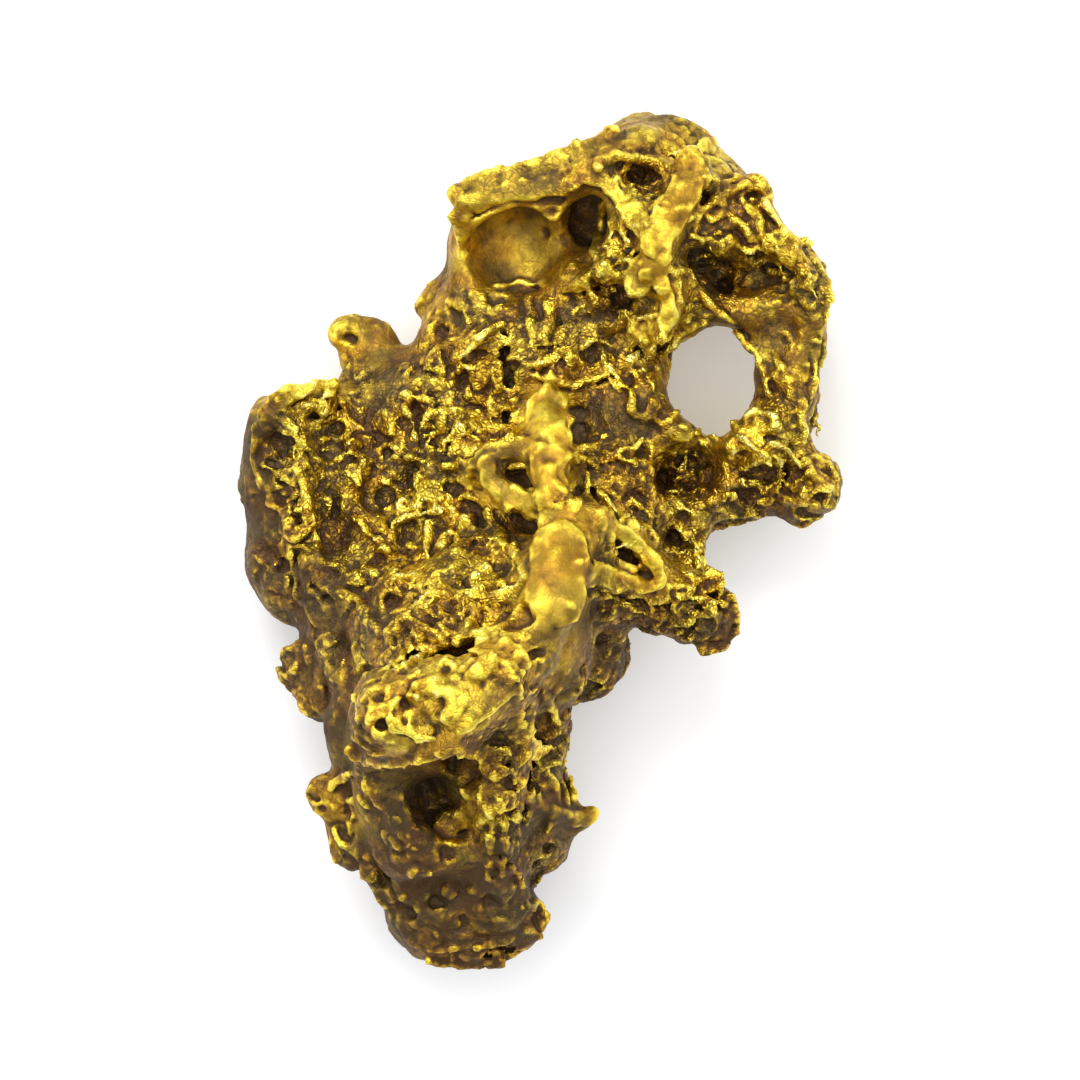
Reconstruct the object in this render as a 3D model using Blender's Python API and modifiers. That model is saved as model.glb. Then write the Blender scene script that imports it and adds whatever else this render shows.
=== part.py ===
"""A gold nugget: one solid, rough piece of natural gold that lies on its broad back.

The frame is in metres with +Z up. The origin is on the surface that the nugget rests on, below
the middle of its outline. +Y runs along its length, from the blunt toe to the head with the hole,
and +Z is its thickness. Every number in the lists below is a real size in millimetres.

The gold is built up as it looks: lumps and ridges are joined in one mass, then caves, pits and a
hole that goes right through are cut out of it, the skin is made uneven, and it is cut flat where
its feet rest.
"""
import bmesh
import bpy
from math import radians, tau
from mathutils import Euler, Matrix, Vector
from mathutils.geometry import intersect_point_line
from random import Random

MM = 0.001

# Driving dimensions of the finished nugget, in millimetres.
WIDTH = 15.25
LENGTH = 21.6
HEIGHT = 9.6

# Working grain of the mass, in millimetres, and how much of the fine mesh is kept.
BODY_GRAIN = 0.20
SKIN_GRAIN = 0.17
TRIANGLES = 9600

# Crumbs of gold and small pits all over the rough skin: how many, their half sizes in
# millimetres, how far their middles lie outside the skin in parts of their size, and how far
# they keep from the worn ridges, in millimetres.
CRUMB_SEED = 11
NUB_COUNT = 230
NUB_SIZES = (0.26, 0.46)
NUB_LIFT = -0.4
PIT_COUNT = 190
PIT_SIZES = (0.24, 0.42)
PIT_LIFT = 0.15
WORN_MARGIN = 0.12

# Uneven skin: size and height of its swells, in millimetres.
SWELL_SIZE = 0.8
SWELL_HEIGHT = 0.3

GOLD_COLOUR = (0.62, 0.42, 0.07, 1.0)
GOLD_ROUGHNESS = 0.32

# Lumps: name, (x, y, z) of the middle, (x, y, z) half sizes, turn about Z in degrees.
HEAD_LUMPS = (
    ("head core", (2.5, 7.5, 2.7), (3.8, 2.6, 2.1), 0),
    ("crown", (3.0, 9.65, 2.3), (1.75, 1.2, 1.5), -8),
    ("brow shoulder", (1.1, 9.25, 2.9), (1.4, 0.85, 1.3), 20),
    ("brow bank", (-1.1, 8.3, 2.9), (1.05, 0.95, 1.35), 0),
    ("brow bank right", (0.3, 8.75, 3.0), (1.3, 0.75, 1.35), 0),
    ("left cheek", (-1.1, 7.4, 2.1), (1.35, 1.7, 1.7), 0),
    ("lower cheek", (-1.3, 5.9, 2.1), (1.4, 1.5, 1.6), 0),
    ("right cap", (4.45, 8.0, 2.7), (1.55, 1.55, 1.7), 0),
    ("right flank", (6.15, 5.9, 2.6), (1.15, 1.9, 1.6), 0),
    ("right wall", (6.2, 4.0, 2.6), (0.82, 1.5, 1.5), 0),
    ("lower bulge", (1.6, 6.75, 4.5), (0.55, 0.4, 0.6), 0),
    ("cap knob", (5.3, 8.95, 3.8), (0.5, 0.42, 0.55), 0),
)

ARM_LUMPS = (
    ("below the hole", (4.0, 1.65, 1.9), (1.8, 1.3, 1.4), 0),
    ("right bridge", (5.6, 2.6, 2.6), (1.15, 1.3, 1.5), 0),
    ("right knob", (6.78, 1.45, 2.9), (0.86, 0.88, 1.0), 0),
    ("knob foot", (6.4, 0.45, 2.5), (0.32, 0.3, 0.4), 0),
    ("right pad", (5.2, 1.5, 2.2), (1.3, 0.9, 1.2), 0),
    ("arm web", (3.3, 0.3, 2.0), (0.85, 1.0, 0.9), 0),
)

BED_LUMPS = (
    ("bed", (-0.25, 4.75, 2.2), (3.0, 2.2, 1.9), 0),
    ("bed left", (-2.6, 3.1, 2.0), (2.1, 1.9, 1.75), 0),
    ("bed right", (2.2, 3.0, 2.3), (1.6, 2.3, 1.9), 0),
    ("middle", (-0.8, 0.9, 2.8), (3.2, 2.6, 1.9), 0),
    ("middle right", (1.5, 1.2, 2.6), (2.2, 1.9, 2.3), 0),
    ("back ball", (-2.5, 6.0, 1.5), (0.75, 0.8, 0.8), 0),
    ("back cap", (-4.55, 5.35, 1.5), (1.02, 0.52, 0.5), -8),
    ("back neck", (-4.35, 4.4, 1.4), (0.78, 0.9, 0.7), 0),
    ("lobe slope", (-1.75, -1.2, 4.3), (1.8, 1.4, 2.3), 25),
)

LEFT_LUMPS = (
    ("left body", (-5.1, 1.4, 2.0), (2.2, 2.6, 1.55), 0),
    ("left flank", (-6.92, 2.2, 2.2), (0.73, 1.7, 1.3), 0),
    ("rim bank", (-6.1, 3.2, 2.9), (1.0, 0.75, 0.95), 0),
    ("rib bank", (-6.15, 1.0, 2.7), (0.55, 2.4, 1.2), 0),
    ("pitted lump", (-6.6, -0.2, 2.2), (0.95, 1.8, 1.4), 8),
    ("left lower", (-4.4, -1.7, 2.6), (1.65, 2.1, 2.3), 0),
    ("left tab", (-6.15, -2.95, 2.6), (0.62, 0.78, 0.66), 0),
    ("left tab root", (-5.35, -3.7, 2.7), (0.95, 0.9, 0.95), 0),
    ("side ball", (-4.85, -4.75, 4.4), (0.68, 0.95, 0.9), 0),
    ("upper toe knob", (-5.2, -6.35, 3.6), (0.74, 0.74, 0.66), 0),
    ("lower toe knob", (-4.75, -7.5, 3.4), (0.75, 0.7, 0.78), 0),
)

LOWER_LUMPS = (
    ("lower body", (-2.4, -2.6, 3.6), (2.7, 2.4, 3.7), 0),
    ("big lump", (-3.5, -4.2, 6.6), (1.35, 1.35, 3.2), 0),
    ("big lump middle", (-2.4, -3.85, 6.7), (1.45, 1.4, 3.1), 0),
    ("big lump end", (-1.15, -3.2, 6.9), (1.15, 1.15, 2.3), 0),
    ("front wall", (-2.9, -6.4, 3.0), (1.9, 2.7, 3.3), 0),
    ("toe", (-2.15, -9.0, 2.2), (1.95, 1.7, 1.9), 0),
    ("toe ball", (-0.4, -9.45, 2.6), (0.55, 0.75, 0.8), 0),
    ("right side", (-0.25, -5.8, 2.6), (0.9, 2.4, 2.2), 0),
    ("rear lump", (1.3, -2.9, 2.4), (0.88, 1.3, 1.2), -28),
    ("arm root", (1.6, -1.5, 3.0), (1.0, 0.8, 1.4), 0),
    ("side bar", (1.05, -7.0, 2.8), (0.58, 0.42, 0.5), 0),
    ("side root", (0.1, -7.75, 2.5), (0.65, 0.52, 0.8), 30),
)

FOOT_LUMPS = (
    ("head foot", (3.2, 8.0, 1.0), (1.8, 1.4, 1.25), 0),
    ("right foot", (5.6, 2.4, 1.1), (1.0, 1.2, 1.3), 0),
    ("left foot", (-5.6, 1.6, 1.0), (1.3, 1.7, 1.25), 0),
    ("toe foot", (-2.4, -7.6, 1.0), (1.4, 1.9, 1.3), 0),
    ("middle foot", (0.2, -0.6, 1.3), (1.6, 1.4, 1.45), 0),
)

# Ridges: name, then (x, y, z, radius) of each point along the ridge.
HEAD_RIDGES = (
    ("brow", ((-1.9, 7.5, 3.6, 0.38), (-1.8, 8.35, 4.0, 0.42), (-0.9, 8.95, 4.3, 0.45),
              (0.4, 9.1, 4.4, 0.42), (1.45, 9.5, 4.5, 0.5), (2.5, 10.1, 3.7, 0.5))),
    ("bright ridge", ((3.9, 9.4, 4.5, 0.5), (3.4, 8.5, 5.0, 0.5), (3.05, 7.8, 5.2, 0.5),
                      (2.7, 6.8, 5.2, 0.45))),
    ("parting ridge", ((1.75, 9.4, 4.4, 0.35), (2.1, 8.5, 4.7, 0.3), (2.75, 7.9, 5.0, 0.3))),
    ("hook", ((2.8, 6.6, 5.0, 0.4), (3.1, 6.3, 4.9, 0.38), (3.25, 5.6, 4.7, 0.35),
              (2.75, 5.3, 4.5, 0.36))),
    ("cave spur", ((0.7, 8.6, 3.1, 0.3), (0.55, 7.8, 3.0, 0.35), (0.6, 7.1, 3.3, 0.4))),
    ("cave lip", ((0.0, 6.2, 3.4, 0.35), (0.8, 6.45, 3.9, 0.4), (1.5, 6.8, 4.3, 0.45))),
    ("right rim", ((5.5, 8.1, 3.9, 0.42), (6.1, 7.3, 4.1, 0.45), (6.7, 6.4, 4.0, 0.42),
                   (6.9, 5.6, 3.5, 0.33), (6.75, 4.2, 3.2, 0.33), (6.35, 3.2, 3.5, 0.42))),
    ("hole ledge", ((3.6, 6.9, 4.4, 0.25), (3.95, 6.2, 4.2, 0.22), (4.4, 5.75, 4.0, 0.22),
                    (4.95, 5.45, 3.8, 0.22))),
)

ARM_RIDGES = (
    ("hole beads", ((3.1, 3.5, 3.8, 0.3), (3.5, 2.95, 3.9, 0.28), (4.1, 2.5, 3.9, 0.3),
                    (4.9, 2.6, 3.8, 0.32))),
    ("thin wall", ((3.9, 0.4, 2.7, 0.3), (4.0, -0.1, 3.0, 0.28), (4.0, -0.6, 3.2, 0.28))),
)

STAR_RIDGES = (
    ("top lobe", ((0.1, 3.3, 5.2, 0.55), (0.2, 2.6, 5.6, 0.62), (0.3, 1.7, 5.8, 0.6))),
    ("left arm", ((0.0, 2.5, 5.6, 0.4), (-0.9, 2.3, 5.5, 0.34), (-1.75, 1.95, 5.3, 0.42))),
    ("eye rim", ((-1.35, 1.8, 5.5, 0.34), (-1.05, 1.2, 5.7, 0.33), (-0.25, 0.9, 6.0, 0.33),
                 (0.5, 1.2, 6.2, 0.33))),
    ("shoulder", ((0.1, 0.9, 6.1, 0.45), (0.8, 0.5, 6.2, 0.55), (1.5, 0.35, 6.0, 0.45))),
    ("big lobe", ((0.75, 0.4, 6.4, 0.6), (0.55, -0.2, 7.0, 0.65), (0.3, -1.0, 7.6, 0.7),
                  (0.1, -1.8, 7.7, 0.7))),
    ("saddle", ((0.1, -1.8, 7.4, 0.8), (-0.5, -2.6, 7.5, 0.95), (-1.4, -3.3, 7.6, 1.2))),
    ("lobe buttress", ((0.2, -0.8, 6.4, 1.0), (-0.2, -1.8, 5.6, 1.5), (-0.6, -2.6, 4.6, 1.9))),
)

RIGHT_ARM_RIDGES = (
    ("upper rib", ((1.4, 0.5, 5.9, 0.35), (2.5, -0.1, 5.4, 0.32), (3.0, -0.9, 4.9, 0.35))),
    ("lower rib", ((1.0, -0.7, 6.0, 0.35), (1.8, -0.95, 5.6, 0.32), (2.7, -1.1, 5.0, 0.38),
                   (3.6, -1.4, 4.6, 0.45))),
    ("arm mass", ((0.9, 0.0, 4.6, 1.3), (2.0, -0.6, 4.2, 1.15), (3.0, -1.3, 3.9, 0.95),
                  (4.1, -1.8, 3.7, 0.9))),
    ("end knob", ((3.7, -1.0, 4.1, 0.6), (4.15, -1.65, 4.1, 0.78), (4.25, -2.05, 3.9, 0.7))),
    ("arm tab", ((2.6, -1.7, 3.9, 0.35), (3.0, -2.1, 3.6, 0.35))),
)

LEFT_RIDGES = (
    ("left rim", ((-5.1, 3.95, 3.5, 0.34), (-6.2, 3.7, 3.9, 0.32), (-6.85, 3.3, 4.0, 0.3),
                  (-7.05, 2.7, 3.7, 0.34))),
    ("outer rib", ((-6.7, 3.1, 3.9, 0.28), (-6.2, 2.7, 4.0, 0.3), (-6.0, 1.8, 3.9, 0.32),
                   (-6.1, 0.8, 3.9, 0.34), (-5.9, -0.3, 3.9, 0.34), (-5.7, -1.4, 3.8, 0.38),
                   (-5.3, -2.6, 4.0, 0.42), (-4.8, -3.8, 4.8, 0.5))),
    ("inner bar", ((-4.6, 0.8, 3.7, 0.3), (-4.2, 0.1, 4.0, 0.32), (-3.8, -0.4, 4.3, 0.34))),
    ("bed bar", ((-4.7, 2.4, 3.7, 0.28), (-4.6, 1.7, 3.7, 0.28), (-4.9, 1.3, 3.6, 0.26))),
    ("low ledge", ((-5.4, -0.9, 4.1, 0.28), (-4.7, -1.2, 4.4, 0.3), (-4.1, -2.0, 4.7, 0.32))),
)

LOWER_RIDGES = (
    ("front column", ((-1.0, -3.9, 6.4, 0.9), (-1.0, -5.4, 5.9, 0.75), (-1.2, -7.2, 5.1, 0.7),
                      (-1.1, -9.0, 3.6, 0.75))),
    ("middle column", ((-2.3, -7.1, 4.9, 0.7), (-2.6, -8.6, 3.9, 0.85))),
    ("left column", ((-4.05, -5.0, 6.2, 0.75), (-3.95, -6.6, 4.5, 0.8), (-3.4, -8.5, 3.3, 0.8))),
    ("toe rim", ((-3.4, -9.6, 2.9, 0.35), (-2.7, -10.3, 3.0, 0.3), (-1.6, -10.45, 3.0, 0.32),
                 (-0.6, -10.1, 2.9, 0.32))),
    ("side rib", ((0.1, -3.6, 4.6, 0.75), (0.1, -5.0, 4.0, 0.6), (0.5, -6.3, 3.4, 0.45))),
)

# The ridges that stand proud and are worn smooth.
WORN_RIDGES = HEAD_RIDGES + STAR_RIDGES + RIGHT_ARM_RIDGES[:2]

# Caves and pits: name, middle, half sizes, turn about Z in degrees.
HEAD_PITS = (
    ("left chamber", (-0.65, 7.35, 3.55), (1.3, 1.22, 0.95), 0),
    ("left chamber mouth", (-0.7, 6.8, 4.9), (1.5, 1.4, 1.45), 0),
    ("right chamber", (1.15, 8.15, 3.6), (0.65, 0.88, 1.0), -10),
    ("right chamber mouth", (1.05, 7.7, 4.6), (0.65, 0.85, 1.1), -10),
    ("brow pit", (2.55, 9.2, 4.5), (0.5, 0.32, 0.8), -15),
    ("bulge pit", (1.9, 6.05, 4.4), (0.55, 0.36, 0.75), 0),
    ("hook crevice", (2.8, 4.85, 4.0), (0.45, 0.22, 0.6), 0),
    ("cap pit", (4.05, 8.5, 4.5), (0.3, 0.32, 0.6), 0),
    ("hollow pit", (4.0, 7.1, 4.3), (0.42, 0.36, 0.9), 0),
    ("head hollow", (4.6, 6.6, 4.2), (0.7, 0.6, 1.0), 0),
    ("cap cave", (4.9, 6.75, 3.8), (1.45, 0.5, 0.9), -5),
    ("side pit", (5.4, 7.15, 4.2), (0.36, 0.36, 0.8), 0),
    ("rim slot", (6.2, 6.75, 4.3), (0.45, 0.18, 0.5), 0),
    ("rim hollow", (6.4, 6.1, 4.3), (0.5, 0.4, 0.6), 0),
    ("hole slope", (5.9, 5.2, 4.5), (0.95, 0.95, 1.1), 0),
)

ARM_PITS = (
    ("deep hollow", (3.7, 1.8, 3.6), (1.0, 0.75, 1.7), 0),
    ("hollow end", (3.1, 1.6, 3.4), (0.45, 0.5, 1.6), 0),
    ("pad pit", (5.3, 1.6, 3.6), (0.5, 0.4, 0.7), 0),
    ("bridge pit", (5.7, 3.8, 4.0), (0.35, 0.3, 0.6), 0),
    ("bridge side pit", (6.3, 3.65, 3.9), (0.25, 0.25, 0.5), 0),
    ("long pit", (3.45, 0.05, 3.5), (0.35, 0.42, 0.8), 30),
)

BED_PITS = (
    ("bed crevice", (-0.85, 4.5, 4.1), (0.18, 0.5, 0.6), 0),
    ("lobe crevice", (-0.65, 3.3, 4.6), (0.2, 0.35, 0.7), 0),
    ("bed pit", (-1.6, 3.5, 4.3), (0.35, 0.22, 0.5), 30),
    ("bed hollow", (1.6, 4.2, 4.3), (0.45, 0.6, 0.7), 20),
    ("eye", (-0.5, 1.6, 5.9), (0.55, 0.34, 1.0), -15),
    ("round pit", (0.85, 1.75, 5.6), (0.26, 0.24, 0.7), 0),
    ("slit", (1.35, 1.2, 5.6), (0.16, 0.36, 0.6), 20),
    ("nose pit", (-0.25, 0.42, 5.6), (0.45, 0.28, 0.8), 0),
    ("lobe pit", (-1.0, -0.6, 5.2), (0.36, 0.32, 0.9), 0),
    ("lobe foot pit", (-0.55, -1.85, 6.6), (0.5, 0.28, 0.9), -15),
    ("arm pit", (2.05, -0.15, 5.6), (0.6, 0.28, 0.8), -38),
    ("arm small pit", (1.15, -0.25, 5.9), (0.3, 0.26, 0.6), 0),
)

LEFT_PITS = (
    ("rim recess", (-5.9, 3.55, 4.0), (0.6, 0.16, 0.6), 12),
    ("left pit", (-5.1, 2.85, 4.1), (0.5, 0.36, 0.7), 0),
    ("bed left pit", (-3.5, 1.35, 4.2), (0.5, 0.48, 0.8), 0),
    ("crescent", (-6.7, 2.5, 4.0), (0.25, 0.6, 0.5), 0),
    ("bar pit", (-5.1, 0.75, 4.1), (0.2, 0.36, 0.5), 0),
    ("low bed pit", (-2.25, 1.35, 4.6), (0.3, 0.25, 0.6), 0),
    ("black pit", (-3.7, -1.5, 4.5), (0.28, 0.28, 0.7), 0),
    ("flank groove", (-6.2, 0.8, 3.6), (0.15, 0.7, 0.5), 0),
    ("lump pit", (-6.8, -0.3, 3.4), (0.28, 0.3, 0.5), 0),
    ("tab notch", (-6.2, -2.3, 2.6), (0.6, 0.22, 1.4), 15),
)

LOWER_PITS = (
    ("lump groove", (-2.6, -2.75, 7.0), (0.9, 0.3, 1.2), 12),
    ("lump groove end", (-1.5, -2.6, 7.2), (0.7, 0.3, 1.0), 20),
    ("worn top", (-2.6, -3.9, 14.0), (7.0, 7.0, 4.9), 0),
    ("column groove", (-1.75, -5.9, 6.9), (0.22, 0.9, 0.9), 0),
    ("wall cave", (-2.8, -6.3, 6.3), (0.9, 0.6, 1.5), 25),
    ("wall cave end", (-2.3, -6.95, 5.7), (0.55, 0.5, 1.1), 0),
    ("wall hollow", (-2.6, -8.9, 4.9), (1.1, 0.7, 0.9), 0),
    ("toe pit", (-0.9, -10.15, 2.9), (0.5, 0.25, 0.5), 15),
    ("side pit low", (0.6, -6.1, 3.9), (0.3, 0.35, 0.5), 0),
)

# Pits of the underside, which keep it as uneven as the rest of the nugget.
UNDER_PITS = (
    ("under head", (0.2, 7.6, -0.2), (1.1, 1.0, 1.2), 0),
    ("under crown", (5.6, 5.9, 0.2), (0.8, 1.0, 1.0), 0),
    ("under bed", (-1.2, 3.6, 0.0), (1.5, 1.1, 1.1), 20),
    ("under middle", (2.4, 1.4, 0.2), (1.0, 1.3, 1.3), 0),
    ("under left", (-3.2, -0.9, 0.0), (1.2, 1.2, 1.5), 0),
    ("under waist", (-1.9, -4.6, -0.1), (1.6, 0.9, 1.6), -10),
    ("under toe", (-2.2, -10.2, 0.2), (1.2, 0.6, 0.9), 0),
)

# The hole through the gold beside the head, as the corners of its outline, top to bottom.
HOLE_OUTLINE = (
    (4.3, 5.5), (4.85, 5.25), (5.05, 4.8), (5.35, 4.25), (5.35, 3.6), (5.0, 2.95),
    (4.45, 2.65), (3.9, 2.85), (3.4, 3.3), (3.1, 3.9), (3.25, 4.6), (3.75, 5.1),
)
HOLE_DEPTH = 9.0

# The slab below the resting surface that cuts the feet flat.
SLAB_WIDTH = 40.0
SLAB_DEPTH = 10.0


def clear_scene():
    """Remove every object that the scene starts with."""
    for thing in list(bpy.data.objects):
        bpy.data.objects.remove(thing, do_unlink=True)


def new_collection(name):
    """Return a new collection that hangs under the scene."""
    collection = bpy.data.collections.new(name)
    bpy.context.scene.collection.children.link(collection)
    return collection


def add_object(name, mesh, collection):
    """Return an object that shows the mesh, in the collection."""
    thing = bpy.data.objects.new(name, mesh)
    collection.objects.link(thing)
    return thing


def add_ellipsoid(bm, centre, half_sizes, euler, fineness=3):
    """Add an ellipsoid to the mesh."""
    place = Matrix.LocRotScale(Vector(centre) * MM, euler, Vector(half_sizes) * MM)
    bmesh.ops.create_icosphere(bm, subdivisions=fineness, radius=1.0, matrix=place)


def add_lump(bm, centre, half_sizes, turn):
    """Add an ellipsoid to the mesh, turned about Z by an angle in degrees."""
    add_ellipsoid(bm, centre, half_sizes, Euler((0.0, 0.0, radians(turn))))


def add_ridge(bm, points):
    """Add a round tube with a radius at each point and a ball at each end."""
    curve = bpy.data.curves.new("ridge path", "CURVE")
    curve.dimensions = "3D"
    curve.bevel_depth = MM
    curve.bevel_resolution = 3
    curve.resolution_u = 6
    curve.use_fill_caps = True
    spline = curve.splines.new("BEZIER")
    spline.bezier_points.add(len(points) - 1)
    for knot, (x, y, z, radius) in zip(spline.bezier_points, points):
        knot.co = Vector((x, y, z)) * MM
        knot.handle_left_type = "AUTO"
        knot.handle_right_type = "AUTO"
        knot.radius = radius
    path = bpy.data.objects.new("ridge path", curve)
    bpy.context.scene.collection.objects.link(path)
    depsgraph = bpy.context.evaluated_depsgraph_get()
    tube = bpy.data.meshes.new_from_object(path.evaluated_get(depsgraph))
    bm.from_mesh(tube)
    bpy.data.objects.remove(path, do_unlink=True)
    bpy.data.curves.remove(curve)
    bpy.data.meshes.remove(tube)
    for x, y, z, radius in (points[0], points[-1]):
        add_lump(bm, (x, y, z), (radius, radius, radius), 0)


def mass_mesh(name, lumps, ridges):
    """Return one mesh that holds all the lumps and ridges, still overlapping each other."""
    bm = bmesh.new()
    for _, centre, half_sizes, turn in lumps:
        add_lump(bm, centre, half_sizes, turn)
    for _, points in ridges:
        add_ridge(bm, points)
    bmesh.ops.remove_doubles(bm, verts=bm.verts, dist=0.00001 * MM)
    mesh = bpy.data.meshes.new(name)
    bm.to_mesh(mesh)
    bm.free()
    return mesh


def is_worn(spot):
    """Say whether a spot, in millimetres, lies on one of the ridges that wear has made smooth."""
    for _, points in WORN_RIDGES:
        for (*start, radius), (*end, _) in zip(points, points[1:]):
            nearest, along = intersect_point_line(spot, Vector(start), Vector(end))
            if along < 0.0:
                nearest = Vector(start)
            elif along > 1.0:
                nearest = Vector(end)
            if (spot - nearest).length < radius + WORN_MARGIN:
                return True
    return False


def crumb_mesh(name, skin, count, sizes, lift, rng):
    """Return a mesh of small ellipsoids, set in the rough parts of the skin at random."""
    bm = bmesh.new()
    while count > 0:
        vertex = skin.vertices[rng.randrange(len(skin.vertices))]
        spot = vertex.co / MM
        if is_worn(spot):
            continue
        count -= 1
        size = rng.uniform(*sizes)
        half_sizes = [size * rng.uniform(0.7, 1.3) for _ in range(3)]
        euler = Euler([rng.uniform(0.0, tau) for _ in range(3)])
        add_ellipsoid(bm, spot + vertex.normal * lift * size, half_sizes, euler, fineness=2)
    mesh = bpy.data.meshes.new(name)
    bm.to_mesh(mesh)
    bm.free()
    return mesh


def add_remesh(thing, grain):
    """Melt what overlaps into one skin with an even grain."""
    remesh = thing.modifiers.new("Melt together", "REMESH")
    remesh.mode = "VOXEL"
    remesh.voxel_size = grain * MM
    remesh.adaptivity = 0.0


def add_smooth(thing, times):
    """Round off the steps that the remesh leaves."""
    smooth = thing.modifiers.new("Round off", "SMOOTH")
    smooth.factor = 0.5
    smooth.iterations = times


def add_cut(thing, cutter):
    """Cut another object out of this one."""
    cut = thing.modifiers.new("Cut " + cutter.name, "BOOLEAN")
    cut.operation = "DIFFERENCE"
    cut.solver = "EXACT"
    cut.object = cutter


def add_swelling(thing, name, kind, size, height):
    """Push the skin in and out with a seeded noise pattern."""
    pattern = bpy.data.textures.new(name, kind)
    pattern.noise_scale = size * MM
    swell = thing.modifiers.new(name, "DISPLACE")
    swell.texture = pattern
    swell.texture_coords = "LOCAL"
    swell.strength = height * MM
    swell.mid_level = 0.5


def apply_modifiers(thing):
    """Bake the object's modifiers into its own mesh and keep its largest island."""
    depsgraph = bpy.context.evaluated_depsgraph_get()
    mesh = bpy.data.meshes.new_from_object(thing.evaluated_get(depsgraph))
    thing.modifiers.clear()
    thing.data = mesh
    keep_largest_island(mesh)


def keep_largest_island(mesh):
    """Delete every loose crumb, so that one closed body is left."""
    bm = bmesh.new()
    bm.from_mesh(mesh)
    unseen = set(bm.verts)
    islands = []
    while unseen:
        island = {unseen.pop()}
        front = list(island)
        while front:
            vertex = front.pop()
            for edge in vertex.link_edges:
                other = edge.other_vert(vertex)
                if other in unseen:
                    unseen.discard(other)
                    island.add(other)
                    front.append(other)
        islands.append(island)
    islands.sort(key=len)
    for island in islands[:-1]:
        bmesh.ops.delete(bm, geom=list(island), context="VERTS")
    bm.to_mesh(mesh)
    bm.free()


def hole_mesh():
    """Return a mesh of the hole: its outline, pulled straight up through the gold."""
    curve = bpy.data.curves.new("hole outline", "CURVE")
    curve.dimensions = "2D"
    curve.fill_mode = "BOTH"
    curve.extrude = HOLE_DEPTH / 2 * MM
    curve.resolution_u = 4
    spline = curve.splines.new("BEZIER")
    spline.bezier_points.add(len(HOLE_OUTLINE) - 1)
    spline.use_cyclic_u = True
    for knot, (x, y) in zip(spline.bezier_points, HOLE_OUTLINE):
        knot.co = Vector((x, y, 0.0)) * MM
        knot.handle_left_type = "AUTO"
        knot.handle_right_type = "AUTO"
    flat = bpy.data.objects.new("hole outline", curve)
    bpy.context.scene.collection.objects.link(flat)
    depsgraph = bpy.context.evaluated_depsgraph_get()
    mesh = bpy.data.meshes.new_from_object(flat.evaluated_get(depsgraph))
    bm = bmesh.new()
    bm.from_mesh(mesh)
    bmesh.ops.remove_doubles(bm, verts=bm.verts, dist=0.001 * MM)
    bmesh.ops.recalc_face_normals(bm, faces=bm.faces)
    bm.to_mesh(mesh)
    bm.free()
    bpy.data.objects.remove(flat, do_unlink=True)
    bpy.data.curves.remove(curve)
    return mesh


def join_into(thing, mesh):
    """Add another mesh to the object's own, still as loose shapes."""
    bm = bmesh.new()
    bm.from_mesh(thing.data)
    bm.from_mesh(mesh)
    bm.to_mesh(thing.data)
    bm.free()
    bpy.data.meshes.remove(mesh)


def pit_cutter(collection, skin, rng):
    """Return the cutter of every cave, pit and the hole, melted together."""
    pits = HEAD_PITS + ARM_PITS + BED_PITS + LEFT_PITS + LOWER_PITS + UNDER_PITS
    cutter = add_object("pits", mass_mesh("pits", pits, ()), collection)
    join_into(cutter, crumb_mesh("small pits", skin, PIT_COUNT, PIT_SIZES, PIT_LIFT, rng))
    join_into(cutter, hole_mesh())
    add_remesh(cutter, SKIN_GRAIN)
    return cutter


def floor_cutter(collection):
    """Return the slab that cuts the feet flat at the resting surface."""
    bm = bmesh.new()
    middle = Vector((0.0, 0.0, -SLAB_DEPTH / 2)) * MM
    sizes = Vector((SLAB_WIDTH, SLAB_WIDTH, SLAB_DEPTH)) * MM
    bmesh.ops.create_cube(bm, size=1.0, matrix=Matrix.LocRotScale(middle, None, sizes))
    mesh = bpy.data.meshes.new("floor")
    bm.to_mesh(mesh)
    bm.free()
    return add_object("floor", mesh, collection)


def hide_cutter(cutter):
    """Keep a cutter out of the finished model."""
    cutter.hide_render = True
    cutter.display_type = "WIRE"


def gold_material():
    """Return the gold's material."""
    material = bpy.data.materials.new("natural gold")
    material.use_nodes = True
    shader = material.node_tree.nodes["Principled BSDF"]
    shader.inputs["Base Color"].default_value = GOLD_COLOUR
    shader.inputs["Metallic"].default_value = 1.0
    shader.inputs["Roughness"].default_value = GOLD_ROUGHNESS
    return material


def fit_to_size(mesh):
    """Stretch the mesh to the driving dimensions, and centre it over its lowest point."""
    corners = [Vector(min(v.co[i] for v in mesh.vertices) for i in range(3)),
               Vector(max(v.co[i] for v in mesh.vertices) for i in range(3))]
    low, high = corners
    size = high - low
    wanted = Vector((WIDTH, LENGTH, HEIGHT)) * MM
    stretch = Matrix.Diagonal((wanted.x / size.x, wanted.y / size.y, wanted.z / size.z, 1.0))
    base = Vector(((low.x + high.x) / 2, (low.y + high.y) / 2, low.z))
    mesh.transform(stretch @ Matrix.Translation(-base))


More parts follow.
